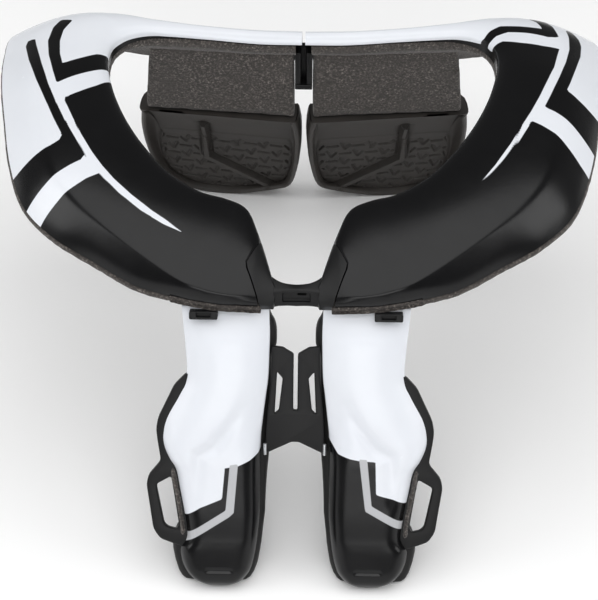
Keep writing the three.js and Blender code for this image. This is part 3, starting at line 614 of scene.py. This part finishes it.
cut(bridge, block("recess", (-6.2, BRIDGE_FRONT - 4, BRIDGE_TOP - 7.2),
                  (6.2, BRIDGE_FRONT + 1.3, BRIDGE_TOP - 1.6), 0.7))
cut(bridge, block("slot", (0.4, BRIDGE_FRONT - 4, BRIDGE_TOP - 4.3),
                  (4.4, BRIDGE_FRONT + 9, BRIDGE_TOP - 2.8), 0.3))
bridge.data.materials.append(satin_nylon)
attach(bridge, "root")
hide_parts("front_bridge")


# Chest covers
# Domed gloss ABS covers on each chest plate, white above and black below, with a grey line;
# each waists in under the collar, swells beside the strap strip and narrows to a blunt tip.
PLATE_HALF = 58.4
COVER_CROWN = 7.0
COVER_WALL = 2.5
CHEST_SETBACK = 1.4
PLATE_BASE = -COVER_WALL - 2 * GAP

# along the plate, outer and inner edge, dome, as shares
COVER_ROWS = np.array([
    (-0.04, 0.855, 0.205, 0.08), (0.0, 0.848, 0.202, 0.22), (0.05, 0.838, 0.199, 0.5),
    (0.1, 0.828, 0.2, 0.72), (0.21, 0.818, 0.208, 0.85),
    (0.28, 0.882, 0.226, 0.9), (0.36, 0.973, 0.247, 1), (0.42, 1, 0.262, 1),
    (0.465, 0.99, 0.266, 1), (0.51, 0.95, 0.27, 1), (0.55, 0.9, 0.27, 0.98),
    (0.62, 0.87, 0.27, 0.95), (0.71, 0.835, 0.27, 0.92), (0.78, 0.815, 0.28, 0.88),
    (0.81, 0.825, 0.287, 0.87), (0.84, 0.86, 0.295, 0.85), (0.88, 0.855, 0.31, 0.8),
    (0.92, 0.825, 0.335, 0.74), (0.945, 0.785, 0.37, 0.62), (0.962, 0.735, 0.41, 0.45),
    (0.973, 0.68, 0.46, 0.22), (0.977, 0.65, 0.49, 0.08),
])


def on_plate(points):
    """Plate coordinates (x across, y up the plate, z out of its face) as mm in the row frame."""
    x, y, z = np.asarray(points, float).T
    along, out = math.sin(SPLAY), math.cos(SPLAY)
    v = np.column_stack([x, CHEST_SETBACK + FRONT_SHIFT + along * y - out * z,
                         CHEST_TOP + out * y + along * z])
    v[:, 2] = np.maximum(v[:, 2], 0.15)
    return v


def cover_height(u, dome, y):
    """Height of the face: one soft dome above, a flat face with bevelled edges below."""
    square = 2.6 + 4.6 * smooth((-y - 44) / 22)
    return COVER_CROWN * dome * (1 - abs(u) ** square)


VALLEY_DEPTH = 1.5
VALLEY_WIDTH = 3.0
VALLEY_LINE = np.array([(22.5, -38.5), (28.5, -48.5), (35.5, -57.5), (42, -61.5), (43.5, -82)])


def valley(x, y):
    """The soft valley that runs down the cover from the link side to the outer edge."""
    best, share = 1e9, 0
    for k in range(len(VALLEY_LINE) - 1):
        edge = VALLEY_LINE[k + 1] - VALLEY_LINE[k]
        dx, dy = x - VALLEY_LINE[k][0], y - VALLEY_LINE[k][1]
        t = min(max((dx * edge[0] + dy * edge[1]) / (edge @ edge), 0), 1)
        d = math.hypot(dx - t * edge[0], dy - t * edge[1])
        if d < best:
            best, share = d, (k + t) / (len(VALLEY_LINE) - 1)
    fade = math.sin(math.pi * min(max(share, 0.05), 0.95)) ** 0.6
    return -VALLEY_DEPTH * math.exp(-(best / VALLEY_WIDTH) ** 2) * fade


# Film colours on the lower part of each cover, as areas in plate coordinates
BLACK_ON_COVER = {
    "left": ((0, -46), (11.3, -51.4), (16.1, -60.6), (19.6, -63), (24.8, -65.4), (30.6, -66.4),
             (31.8, -80.7), (41.5, -85), (47.3, -88.8), (64, -98), (64, -140), (0, -140)),
    "right": ((0, -47), (14.6, -53.3), (19.1, -59.6), (24.4, -61.4), (28.8, -62.2), (35.6, -62.6),
              (36.1, -77.7), (43.6, -79.9), (50.3, -83), (66, -90), (66, -140), (0, -140)),
}
GREY_ON_COVER = {
    "left": ((24.8, -64.4), (28.4, -65), (30.2, -86), (46.4, -96.9), (58, -104), (58, -108.4),
             (46, -100.6), (28.6, -89), (26.6, -87)),
    "right": ((28.4, -61.4), (31.9, -61.6), (34.2, -83), (49.2, -91.8), (60, -98.4), (60, -102.4),
              (47.9, -95), (31.4, -85.4)),
}

# The same film-covered ABS, here also with a grey line
cover_abs, tree, shader = new_material("gloss_abs_cover_film")
place = add(tree, "ShaderNodeTexCoord", {}, {}).outputs["Object"]
cloud = add(tree, "ShaderNodeTexNoise", {},
            {"Vector": place, "Scale": every(28.57), "Detail": 3.0})
black = add(tree, "ShaderNodeMix", {"data_type": "RGBA"},
            {"Factor": cloud.outputs["Fac"], "A": linear("#060607"), "B": linear("#0b0b0d")})
white = add(tree, "ShaderNodeMix", {"data_type": "RGBA"},
            {"Factor": cloud.outputs["Fac"], "A": linear("#dadde4"), "B": linear("#e5e8ed")})
colour = white.outputs["Result"]
for layer, ink in (("black", black.outputs["Result"]), ("grey", linear("#b4b5b8"))):
    area = add(tree, "ShaderNodeAttribute", {"attribute_name": layer}, {}).outputs["Fac"]
    inked = add(tree, "ShaderNodeMapRange", {"interpolation_type": "SMOOTHSTEP"},
                {"Value": area, "From Min": 0.15, "From Max": -0.15}).outputs["Result"]
    colour = add(tree, "ShaderNodeMix", {"data_type": "RGBA"},
                 {"Factor": inked, "A": colour, "B": ink}).outputs["Result"]
feed(shader, {"Base Color": colour})
film_finish(tree, shader, place, 0.08)

# A short sunk mark across the tip of each cover
TIP_MARK = (33, -114.6)
TIP_MARK_HALF = 5
TIP_MARK_DEPTH = 0.5


def cover_grid(rows, columns):
    """The cover's outer face in plate coordinates, with its columns closer at both edges."""
    grid = []
    even, bunched = np.linspace(-1, 1, columns), -np.cos(np.linspace(0, math.pi, columns))
    for a in np.linspace(0, len(COVER_ROWS) - 1, rows):
        along, outer, inner, dome = spline(COVER_ROWS, a)
        outer, inner = outer * PLATE_HALF, inner * PLATE_HALF
        y = -along * CHEST_LENGTH
        for u in bunched * 0.25 + even * 0.75:
            x = inner + (outer - inner) * (u + 1) / 2
            z = cover_height(u, dome, y)
            z += valley(x, y) * min(z / 3, 1)
            off = math.hypot(max(abs(x - TIP_MARK[0]) - TIP_MARK_HALF, 0), y - TIP_MARK[1])
            z -= TIP_MARK_DEPTH * math.exp(-(off / 0.8) ** 2)
            grid.append((x, y, z))
    return np.array(grid)


def grid_shell(top, rows, columns, wall, lip=0.6):
    """Points and faces of a thin cover: its outer grid, a rounded edge, and its inner grid."""
    below = top.copy()
    below[:, 2] -= wall
    border = list(range(columns))
    border += [j * columns + columns - 1 for j in range(1, rows)]
    border += [(rows - 1) * columns + i for i in range(columns - 2, -1, -1)]
    border += [j * columns for j in range(rows - 2, 0, -1)]
    middle = top.reshape(rows, columns, 3).mean((0, 1))
    rim = []
    for b in border:
        away = top[b] - middle
        away[2] = 0
        rim.append((top[b] + below[b]) / 2 + away / np.linalg.norm(away) * lip)
    size = rows * columns
    verts = np.vstack([top, below, rim])
    faces = []
    for j in range(rows - 1):
        for i in range(columns - 1):
            a = j * columns + i
            faces.append((a, a + columns, a + columns + 1, a + 1))
            faces.append((a + size, a + size + 1, a + size + columns + 1, a + size + columns))
    for k, b in enumerate(border):
        c = border[(k + 1) % len(border)]
        e, f = 2 * size + k, 2 * size + (k + 1) % len(border)
        faces.append((b, c, f, e))
        faces.append((e, f, c + size, b + size))
    return verts, faces


COVER_STEPS = (170, 56)
cover_top = cover_grid(*COVER_STEPS)
for hand, side in (("right", 1), ("left", -1)):
    verts, faces = grid_shell(cover_top, *COVER_STEPS, COVER_WALL)
    cover = mesh_piece(f"chest_cover_{hand}", on_plate(verts), faces, side, sharp=60)
    store(cover, "black", distance_outside(BLACK_ON_COVER[hand], verts[:, :2]))
    store(cover, "grey", distance_outside(GREY_ON_COVER[hand], verts[:, :2]))
    cover.data.materials.append(cover_abs)
    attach(cover, "root")
    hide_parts(f"chest_cover_{hand}")


# Chest pads
# Firm black EVA, glued under each cover and standing out a little round its lower end and
# inner edge; a strip of felt shows where the cover is cut back beside the strap loop.
PAD_THICKNESS = 8.5

# along the plate, outer and inner edge, as shares
PAD_ROWS = np.array([
    (-0.16, 0.8, 0.22), (-0.02, 0.85, 0.19), (0.025, 0.84, 0.142), (0.1, 0.83, 0.136),
    (0.14, 0.825, 0.165), (0.21, 0.82, 0.165), (0.28, 0.9, 0.165), (0.36, 0.995, 0.17),
    (0.42, 1.02, 0.175), (0.52, 0.99, 0.19), (0.58, 0.93, 0.2), (0.73, 0.88, 0.22),
    (0.79, 0.92, 0.235), (0.85, 0.935, 0.25), (0.92, 0.9, 0.28), (0.965, 0.855, 0.33),
    (1.0, 0.79, 0.4), (1.02, 0.72, 0.48), (1.028, 0.65, 0.56),
])


# Moulded EVA foam: near black and matte, with a fine closed-cell grain drawn at 0.5 mm and a
# slightly polished look where it has been pressed against a smooth tool.
def eva_foam(name, dark, light):
    material, tree, shader = new_material(name)
    place = add(tree, "ShaderNodeTexCoord", {}, {}).outputs["Object"]
    cells = add(tree, "ShaderNodeTexVoronoi", {}, {"Vector": place, "Scale": every(0.5)})
    cloud = add(tree, "ShaderNodeTexNoise", {},
                {"Vector": place, "Scale": every(12.5), "Detail": 4.0})
    tone = add(tree, "ShaderNodeMix", {"data_type": "RGBA"},
               {"Factor": cloud.outputs["Fac"], "A": linear(dark), "B": linear(light)})
    polish = add(tree, "ShaderNodeMapRange", {},
                 {"Value": cloud.outputs["Fac"], "To Min": 0.4, "To Max": 0.6})
    grain = add(tree, "ShaderNodeBump", {},
                {"Height": cells.outputs["Distance"], "Strength": 0.3, "Distance": 0.15 * MM})
    feed(shader, {"Base Color": tone.outputs["Result"], "Roughness": polish.outputs["Result"],
                  "Normal": grain.outputs["Normal"], "Specular IOR Level": 0.35})
    return material


black_eva = eva_foam("black_moulded_eva", "#0c0c0c", "#181717")

pad_rings = []
for a in np.linspace(0, len(PAD_ROWS) - 1, 110):
    along, outer, inner = spline(PAD_ROWS, a)
    outer, inner, y = outer * PLATE_HALF, inner * PLATE_HALF, -along * CHEST_LENGTH
    half = (outer - inner) / 2
    middle = (outer + inner) / 2
    pad_rings.append(np.array([
        (middle + half * a, y, PLATE_BASE - PAD_THICKNESS / 2 + PAD_THICKNESS / 2 * b)
        for a, b in superellipse(48, 0.3, 0.42)]))
pad_rings = [shrunk(pad_rings[0], 3.0)] + pad_rings + [shrunk(pad_rings[-1], 2.0)]


def settle(piece, voxel, cap):
    """Inflates a padded piece a little under even pressure, and keeps each point within cap."""
    remesh = piece.modifiers.new("remesh", "REMESH")
    remesh.mode = "VOXEL"
    remesh.voxel_size = voxel
    start = fix_modifiers(piece)
    before = np.array([v.co[:] for v in start.vertices])
    cloth = piece.modifiers.new("cloth", "CLOTH")
    cloth.settings.use_pressure = True
    cloth.settings.uniform_pressure_force = 4.0
    cloth.settings.effector_weights.gravity = 0.0
    for step in range(1, 21):
        bpy.context.scene.frame_set(step)
    shaped = piece.evaluated_get(bpy.context.evaluated_depsgraph_get()).to_mesh()
    after = np.array([v.co[:] for v in shaped.vertices])
    piece.modifiers.clear()
    bpy.context.scene.frame_set(1)
    move = after - before
    reach = np.linalg.norm(move, axis=1)[:, None]
    after = before + move * np.minimum(1, cap / np.maximum(reach, 1e-9))
    start.vertices.foreach_set("co", after.ravel())
    start.update()
    fine = piece.modifiers.new("fine", "SUBSURF")
    fine.levels = 1
    fine.render_levels = 1
    fix_modifiers(piece)


# The felt strip beside the strap loop, in plate coordinates
WELT_LINE = np.array([(54.2, -66.6), (53.0, -74.0), (50.9, -86.0), (49.6, -95.0), (49.4, -100.6)])
welt_rings = []
for a in np.linspace(0, len(WELT_LINE) - 1, 60):
    x, y = spline(WELT_LINE, a)
    ends = min(a, len(WELT_LINE) - 1 - a)
    half = 1.7 * min(1, 0.35 + ends * 1.3)
    high = 5.4 * min(1, 0.5 + ends * 1.2)
    ring = []
    for k in range(20):
        angle = 2 * math.pi * k / 20
        z = PLATE_BASE - 0.6 + high * max(math.sin(angle), -0.1)
        ring.append((x + half * math.cos(angle), y, z))
    welt_rings.append(np.array(ring))


def joined_pieces(first, second):
    """Puts the second piece's mesh into the first as its second material's faces."""
    with bpy.context.temp_override(active_object=first, selected_editable_objects=[first, second]):
        bpy.ops.object.join()
    return first


for hand, side in (("right", 1), ("left", -1)):
    rings = [on_plate(ring) for ring in pad_rings]
    pad = rings_to_mesh(f"chest_pad_{hand}", rings, side)
    settle(pad, 1.6 * MM, 0.6 * MM)
    pad.data.materials.append(black_eva)
    welt = rings_to_mesh(f"welt_{hand}", [on_plate(ring) for ring in welt_rings[::-1]], side)
    roughen(welt, 0.3 * MM, 1.5 * MM)
    welt.data.materials.append(felt)
    pad = joined_pieces(pad, welt)
    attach(pad, "root")
    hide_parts(f"chest_pad_{hand}")


# Strap frames
# One nylon moulding on each pad's outer edge: a slim strip beside the cover that ends in a
# loop for the body strap, with all its edges rounded.
STRIP_THICKNESS = 3.4


def rounded(points, radius, steps=4):
    """A closed outline with each corner rounded."""
    points = [np.array(p, float) for p in points]
    line = []
    for before, p, after in zip([points[-1]] + points[:-1], points, points[1:] + [points[0]]):
        into, out = before - p, after - p
        a, b = np.linalg.norm(into), np.linalg.norm(out)
        r = min(radius, a * 0.45, b * 0.45)
        start, end = p + into / a * r, p + out / b * r
        for k in range(steps + 1):
            t = k / steps
            line.append(start * (1 - t) ** 2 + p * 2 * t * (1 - t) + end * t * t)
    return line


def flat_moulding(outline, holes, back, front, bevel):
    """Points and faces of a flat moulding in its own plane, z from back to front, edges rounded."""
    curve = bpy.data.curves.new("outline", "CURVE")
    curve.dimensions = "2D"
    curve.fill_mode = "BOTH"
    for line in [outline] + list(holes):
        path = curve.splines.new("POLY")
        path.points.add(len(line) - 1)
        for point, (x, y) in zip(path.points, line):
            point.co = (x, y, 0, 1)
        path.use_cyclic_u = True
    curve.extrude = (front - back) / 2 - bevel
    curve.bevel_depth = bevel
    curve.bevel_resolution = 2
    curve.offset = -bevel
    carrier = bpy.data.objects.new("outline", curve)
    bpy.context.collection.objects.link(carrier)
    bpy.context.view_layer.update()
    mesh = bpy.data.meshes.new_from_object(
        carrier.evaluated_get(bpy.context.evaluated_depsgraph_get()))
    verts = np.array([v.co[:] for v in mesh.vertices])
    verts[:, 2] += (front + back) / 2
    faces = [tuple(p.vertices) for p in mesh.polygons]
    bpy.data.objects.remove(carrier)
    bpy.data.curves.remove(curve)
    bpy.data.meshes.remove(mesh)
    return verts, faces


def joined(parts):
    """Several (points, faces) as one."""
    verts, faces, base = [], [], 0
    for points, polygons in parts:
        verts.append(points)
        faces += [tuple(k + base for k in polygon) for polygon in polygons]
        base += len(points)
    return np.vstack(verts), faces


def welded(piece):
    """Joins the doubled points that a filled outline leaves."""
    weld = piece.modifiers.new("weld", "WELD")
    weld.merge_threshold = 0.02 * MM
    fix_modifiers(piece).set_sharp_from_angle(angle=math.radians(32))
    return piece


strip_outline = rounded([
    (46.9, -25.1), (48.6, -25.7), (53.3, -30.6), (60.4, -45.6), (61.3, -50.5), (60.8, -55.2),
    (59.2, -65.4), (64.6, -71.9), (65.6, -76.0), (62.6, -96.9), (59.6, -101.4), (48.6, -105.4),
    (44.8, -101.9), (47.6, -66.5), (50.6, -45.2)], 2.0)
loop_opening = rounded([
    (54.6, -72.4), (60.7, -75.9), (61.0, -77.5), (57.7, -94.3), (56.0, -96.0), (52.2, -97.0),
    (51.2, -94.4)], 1.4)
for hand, side in (("right", 1), ("left", -1)):
    verts, faces = flat_moulding(strip_outline, [loop_opening], PLATE_BASE + GAP,
                                 PLATE_BASE + GAP + STRIP_THICKNESS, 0.7)
    strap = welded(mesh_piece(f"strap_frame_{hand}", on_plate(verts), faces, side))
    strap.data.materials.append(satin_nylon)
    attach(strap, "root")
    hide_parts(f"strap_frame_{hand}")


# Chest link
# A flat sprung nylon plate that holds the two chest plates together and lets them spread; it
# has a slit down its middle, two slim windows and an arched lower edge.
LINK_TOP = -0.1 * CHEST_LENGTH
LINK_LENGTH = 49.0
LINK_THICKNESS = 3.0


def down_link(rows):
    """Outline points from distances off the middle line and shares of the link's length."""
    return [(x, LINK_TOP - LINK_LENGTH * share) for x, share in rows]


def mirrored(points):
    """The same outline points on the other side of the middle line."""
    return [(-x, y) for x, y in reversed(points)]


link_half = down_link([
    (0.9, 0.59), (0.9, 0.07), (5.8, 0.01), (10.4, 0), (10.7, 0.3), (12.4, 0.65), (13.2, 1),
    (9.8, 0.965), (1.6, 0.885)])
link_outline = rounded(link_half + mirrored(link_half), 0.8)
window = rounded(down_link([(8.1, 0.235), (5.7, 0.295), (7.3, 0.59), (9.05, 0.625)]), 0.7)
verts, faces = flat_moulding(link_outline, [window, mirrored(window)], PLATE_BASE + GAP,
                             PLATE_BASE + GAP + LINK_THICKNESS, 0.5)
link = welded(mesh_piece("chest_link", on_plate(verts), faces))
link.data.materials.append(satin_nylon)

# Stainless wire for the two short pins at the link's lower corners: bright, with faint draw
# marks every 0.7 mm
steel, tree, shader = new_material("bright_drawn_steel")
place = add(tree, "ShaderNodeTexCoord", {}, {}).outputs["Object"]
drawn = add(tree, "ShaderNodeTexNoise", {},
            {"Vector": place, "Scale": every(0.667), "Detail": 2.0})
tone = add(tree, "ShaderNodeMix", {"data_type": "RGBA"},
           {"Factor": drawn.outputs["Fac"], "A": linear("#b9bbbe"), "B": linear("#dcdee0")})
feed(shader, {"Base Color": tone.outputs["Result"], "Metallic": 0.9, "Roughness": 0.35})
PIN_X = 13.1
PIN_OUT = PLATE_BASE + 3.6
for side in (1, -1):
    pin_rings = []
    for y, radius in ((-56.4, 0.3), (-56.6, 0.75), (-61.6, 0.75), (-61.8, 0.3)):
        pin_rings.append(on_plate(np.array([
            (PIN_X + radius * a, y, PIN_OUT + radius * b) for a, b in superellipse(16, 1, 1)])))
    pin = rings_to_mesh("pin", pin_rings, side)
    pin.data.materials.append(steel)
    link = joined_pieces(link, pin)
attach(link, "root")
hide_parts("chest_link")


# Adjuster sockets
# Small moulded nylon clips on the covers, half hidden under the collar's lip; a slot in each
# takes the adjuster of the collar's height.
SOCKET_X = 0.69 * PLATE_HALF


def bar(x, half, low, high):
    """The corners of an upright rectangle about x."""
    return [(x - half, low), (x + half, low), (x + half, high), (x - half, high)]


socket_outline = rounded(bar(SOCKET_X, 6.2, 0.3, 3.9), 0.8)
socket_slot = rounded(bar(SOCKET_X, 3.1, 1.3, 3.3), 0.4)
for hand, side in (("right", 1), ("left", -1)):
    verts, faces = joined([
        flat_moulding(socket_outline, [socket_slot], 3.6, 5.8, 0.3),
        flat_moulding(socket_outline, [], -1.0, 3.65, 0.2)])
    clip = welded(mesh_piece(f"adjuster_socket_{hand}", on_plate(verts), faces, side))
    clip.data.materials.append(satin_nylon)
    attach(clip, "root")
    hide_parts(f"adjuster_socket_{hand}")


# Rear risers
# Felt panels over thin padding that hang from the back of each collar half; they flare and
# sweep back a little towards the foot, where the rear pads are fixed.
RISER_FOOT = 78.0
RISER_THICKNESS = 5.0
RISER_INNER = 4.6
RISER_OUTER = 73.0
RISER_FLARE = 4.5
REAR_YAW = math.radians(6.5)


def rim_at(x):
    """The neck edge's y and z behind the neck, at x mm from the middle."""
    low, high = LAST - 5.0, float(LAST)
    for _ in range(30):
        middle = (low + high) / 2
        if spline(RIM, middle)[0] > x:
            low = middle
        else:
            high = middle
    return spline(RIM, low), low


foot_y = rim_at(RISER_INNER)[0][1] + LINER_INSET


def riser_grid(rows, columns):
    """The riser's front face, from its foot up to just below the neck edge."""
    grid = []
    for up in np.linspace(0, 1, rows):
        for t in np.linspace(0, 1, columns):
            x = RISER_INNER + (RISER_OUTER - RISER_INNER) * t
            rim, station = rim_at(x)
            drop = RIM_DROP * np.interp(station, range(LAST + 1), STATIONS[:, 9])
            top = rim[2] - drop - min(RIM_ROLL, 3.0) - LINER_PROUD - 2.2
            z = RISER_FOOT + 0.2 + (top - RISER_FOOT) * up
            share = (z - RISER_FOOT) / (LIP_HEIGHT + COLLAR_RISE - RISER_FOOT)
            foot = foot_y + (x - RISER_INNER) * math.tan(REAR_YAW)
            y = foot + (rim[1] + LINER_INSET - foot) * share
            grid.append((x + RISER_FLARE * t * (1 - share), y, z))
    return np.array(grid)


RISER_STEPS = (26, 46)
riser_face = riser_grid(*RISER_STEPS)[:, [0, 2, 1]] * [1, 1, -1]
for hand, side in (("right", 1), ("left", -1)):
    verts, faces = grid_shell(riser_face, *RISER_STEPS, RISER_THICKNESS, lip=0.3)
    verts = verts[:, [0, 2, 1]] * [1, -1, 1]
    riser = mesh_piece(f"rear_riser_{hand}", verts, faces, side)
    settle(riser, 1.3 * MM, 0.7 * MM)
    riser.data.materials.append(felt)
    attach(riser, "root")
    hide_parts(f"rear_riser_{hand}")


# Rear closure
# A nylon clasp between the risers that holds the two collar halves together, shown fastened;
# a moulded channel with a deep groove down its face, and a thumb lip at its foot.
closure_y = foot_y - 1.0
channel = rounded([(-4.2, 0), (-1.4, 0), (-1.4, 4.5), (1.4, 4.5), (1.4, 0), (4.2, 0), (4.2, 8.6),
                   (-4.2, 8.6)], 0.6)
thumb = rounded(bar(0, 4.2, -0.6, 8.6), 0.6)
verts, faces = joined([
    flat_moulding(channel, [], 100.4, 120.3, 0.3),
    flat_moulding(thumb, [], 98.1, 100.9, 0.6)])
verts = np.column_stack([verts[:, 0], closure_y + verts[:, 1], verts[:, 2]])
closure = welded(mesh_piece("rear_closure", verts, faces))
closure.data.materials.append(satin_nylon)
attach(closure, "root")
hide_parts("rear_closure")


# Rear pads
# Compression-moulded EVA dishes below the risers: a raised rim all round, a sloping wall, and
# a floor with short grooves in staggered rows, crossed by one bent rib.
WALL_STEPS = 40
FLOOR_STEPS = 100
REAR_WIDTH = 82.0
REAR_TILT = math.radians(20.5)
REAR_LENGTH = (RISER_FOOT - GAP) / math.cos(REAR_TILT)
REAR_DISH = 6.0
REAR_OUTLINE = np.array([
    (0.09, -0.028), (0.045, 0.0), (0.03, 0.12), (0.03, 0.24), (0.05, 0.5), (0.09, 0.74),
    (0.13, 0.83), (0.2, 0.875), (0.34, 0.94), (0.48, 0.985), (0.6, 0.995), (0.72, 0.98),
    (0.84, 0.92), (0.95, 0.76), (1, 0.52), (1.01, 0.24), (0.99, 0.04), (0.955, -0.03), (0.52, -0.03),
])
RIB = np.array([(0.64, -0.27), (0.64, -0.62), (0.24, -0.9)])

grey_eva = eva_foam("dark_grey_moulded_eva", "#2c2a28", "#423e3b")


def closed_spline(points, count):
    """A closed smooth line through points, as count points."""
    around = np.vstack([points[-2:], points, points[:3]])
    return np.array([spline(around, 2 + len(points) * k / count) for k in range(count)])


rear_line = closed_spline(REAR_OUTLINE, 420) * [REAR_WIDTH, -REAR_LENGTH]
rear_middle = np.array([0.52 * REAR_WIDTH, -0.5 * REAR_LENGTH])


def rear_ring(inset, z, shelf=0.0):
    """One ring of the pad's face: narrowed by inset, its upper side drawn down by shelf."""
    narrowed = np.array([1 - inset / (REAR_WIDTH / 2), 1 - 0.7 * inset / (REAR_LENGTH / 2)])
    ring = rear_middle + (rear_line - rear_middle) * narrowed
    share = np.clip(1 + ring[:, 1] / REAR_LENGTH, 0, 1)
    ring[:, 1] -= shelf * share
    return np.column_stack([ring, np.full(len(ring), z)])


def segment_distance(points, a, b):
    """Distance in mm from each point to the line between a and b."""
    edge = b - a
    t = np.clip(((points - a) @ edge) / (edge @ edge), 0, 1)
    return np.linalg.norm(points - a - t[:, None] * edge, axis=1)


# A dash, and the two strokes of the tick beside it
GROOVES = (((-2.5, -0.2), (2.5, 0.2)), ((4.6, 2.4), (6.5, -2.4)), ((6.5, -2.4), (8.6, 0.8)))


def floor_grooves(points):
    """Distance from each point to the floor's short grooves, which lie in staggered rows."""
    near = np.full(len(points), 1e9)
    for row in range(8):
        for column in range(8):
            middle = np.array([3 + 13.4 * column + 6.7 * (row % 2), -39.5 - 6.6 * row])
            for a, b in GROOVES:
                near = np.minimum(near, segment_distance(points, middle + a, middle + b))
    return near


def rear_relief(points):
    """Height of the bent rib over the pad's plain face, and depth of the grooves below it."""
    line = RIB * [REAR_WIDTH, REAR_LENGTH]
    rib = np.minimum(segment_distance(points, line[0], line[1]),
                     segment_distance(points, line[1], line[2]))
    gutter = 0.8 * np.clip((3.4 - rib) / 0.6, 0, 1) * (rib > 1.5)
    height = 2.6 * np.clip((1.9 - rib) / 0.6, 0, 1) - gutter
    near = np.where(rib < 4.2, 1e9, floor_grooves(points))
    return height, 0.9 * np.clip((0.95 - near) / 0.4, 0, 1)


def dish_depth(y):
    """The dish is deepest below its long upper wall and runs out towards the lower edge."""
    return 0.8 + (REAR_DISH - 0.8) * np.clip((y + REAR_LENGTH) / (REAR_LENGTH - 36), 0, 1)


rear_rings = [rear_ring(6, -12.0), rear_ring(1.6, -11.6), rear_ring(0.6, -10), rear_ring(0, -6),
              rear_ring(0, -1.2), rear_ring(0.3, 1.2), rear_ring(0.9, 2.4), rear_ring(1.7, 2.8),
              rear_ring(2.5, 2.5), rear_ring(3.1, 1.4)]
rim_count = len(rear_rings)
for t in np.linspace(0, 1, WALL_STEPS)[1:]:
    ring = rear_ring(3.2 + 2.6 * t, 0, 30.0 * t)
    ring[:, 2] = 1.0 - (dish_depth(ring[:, 1]) + 1.0) * math.sin(math.pi / 2 * t) ** 0.9
    rear_rings.append(ring)
edge_ring = rear_rings[-1].copy()
floor_middle = edge_ring.mean(0)
for t in np.linspace(1, 0, FLOOR_STEPS)[1:-1]:
    ring = floor_middle + (edge_ring - floor_middle) * t
    ring[:, 2] = 0.3 * min((1 - t) * 25, 1) - dish_depth(ring[:, 1])
    rear_rings.append(ring)
for k, ring in enumerate(rear_rings[rim_count:]):
    height, grooves = rear_relief(ring[:, :2])
    on_floor = min(max((k - WALL_STEPS - 1) / 3, 0), 1)
    ring[:, 2] += height * min(k / 6, 1) - grooves * on_floor


def on_rear(points):
    """Rear pad coordinates as mm in the row frame: the pad leans back and is swept outwards."""
    x, y, z = points.T
    a = math.pi / 2 + REAR_TILT
    flat_y, up = y * math.cos(a) - z * math.sin(a), y * math.sin(a) + z * math.cos(a)
    turned = np.column_stack([
        x * math.cos(REAR_YAW) - flat_y * math.sin(REAR_YAW),
        x * math.sin(REAR_YAW) + flat_y * math.cos(REAR_YAW) + foot_y,
        RISER_FOOT - GAP + up])
    turned[:, 2] = np.clip(turned[:, 2], 0.15, RISER_FOOT - GAP)
    return turned


for hand, side in (("right", 1), ("left", -1)):
    rear = rings_to_mesh(f"rear_pad_{hand}", [on_rear(ring) for ring in rear_rings], side)
    rear.data.materials.append(grey_eva)
    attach(rear, "root")
    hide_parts(f"rear_pad_{hand}")


# Floor and light
# A plain white floor under one large soft lamp overhead and two weak ones at the sides, as in a
# product studio; the room itself is dim, so that the black gloss stays black.
floor_mesh = bpy.data.meshes.new("floor")
floor_mesh.from_pydata([(-6, -6, 0), (6, -6, 0), (6, 6, 0), (-6, 6, 0)], [], [(0, 1, 2, 3)])
floor = bpy.data.objects.new("floor", floor_mesh)
bpy.context.collection.objects.link(floor)
# White seamless paper: no gloss, so it takes only the soft shadow under the brace
paper, tree, shader = new_material("white_seamless_paper")
feed(shader, {"Base Color": linear("#fafafa"), "Roughness": 0.95, "Specular IOR Level": 0.1})
floor_mesh.materials.append(paper)

world = bpy.data.worlds.new("dim_studio_room")
bpy.context.scene.world = world
world.use_nodes = True
feed(world.node_tree.nodes["Background"], {"Color": (1, 1, 1, 1), "Strength": 0.2})
for name, at, width, power in (
        ("overhead", (0.0, -0.35, 2.2), 2.6, 40.0),
        ("left", (-1.6, -0.3, 0.9), 1.0, 9.0),
        ("right", (1.6, -0.3, 0.9), 1.0, 9.0),
        ("front", (0.0, -1.9, 0.9), 1.0, 9.0)):
    lamp_data = bpy.data.lights.new(name, "AREA")
    lamp_data.size = width
    lamp_data.energy = power
    lamp = bpy.data.objects.new(name, lamp_data)
    lamp.location = at
    lamp.rotation_euler = (Vector((0, 0, 0.08)) - Vector(at)).to_track_quat("-Z", "Y").to_euler()
    bpy.context.collection.objects.link(lamp)
bpy.context.scene.view_settings.view_transform = "Standard"
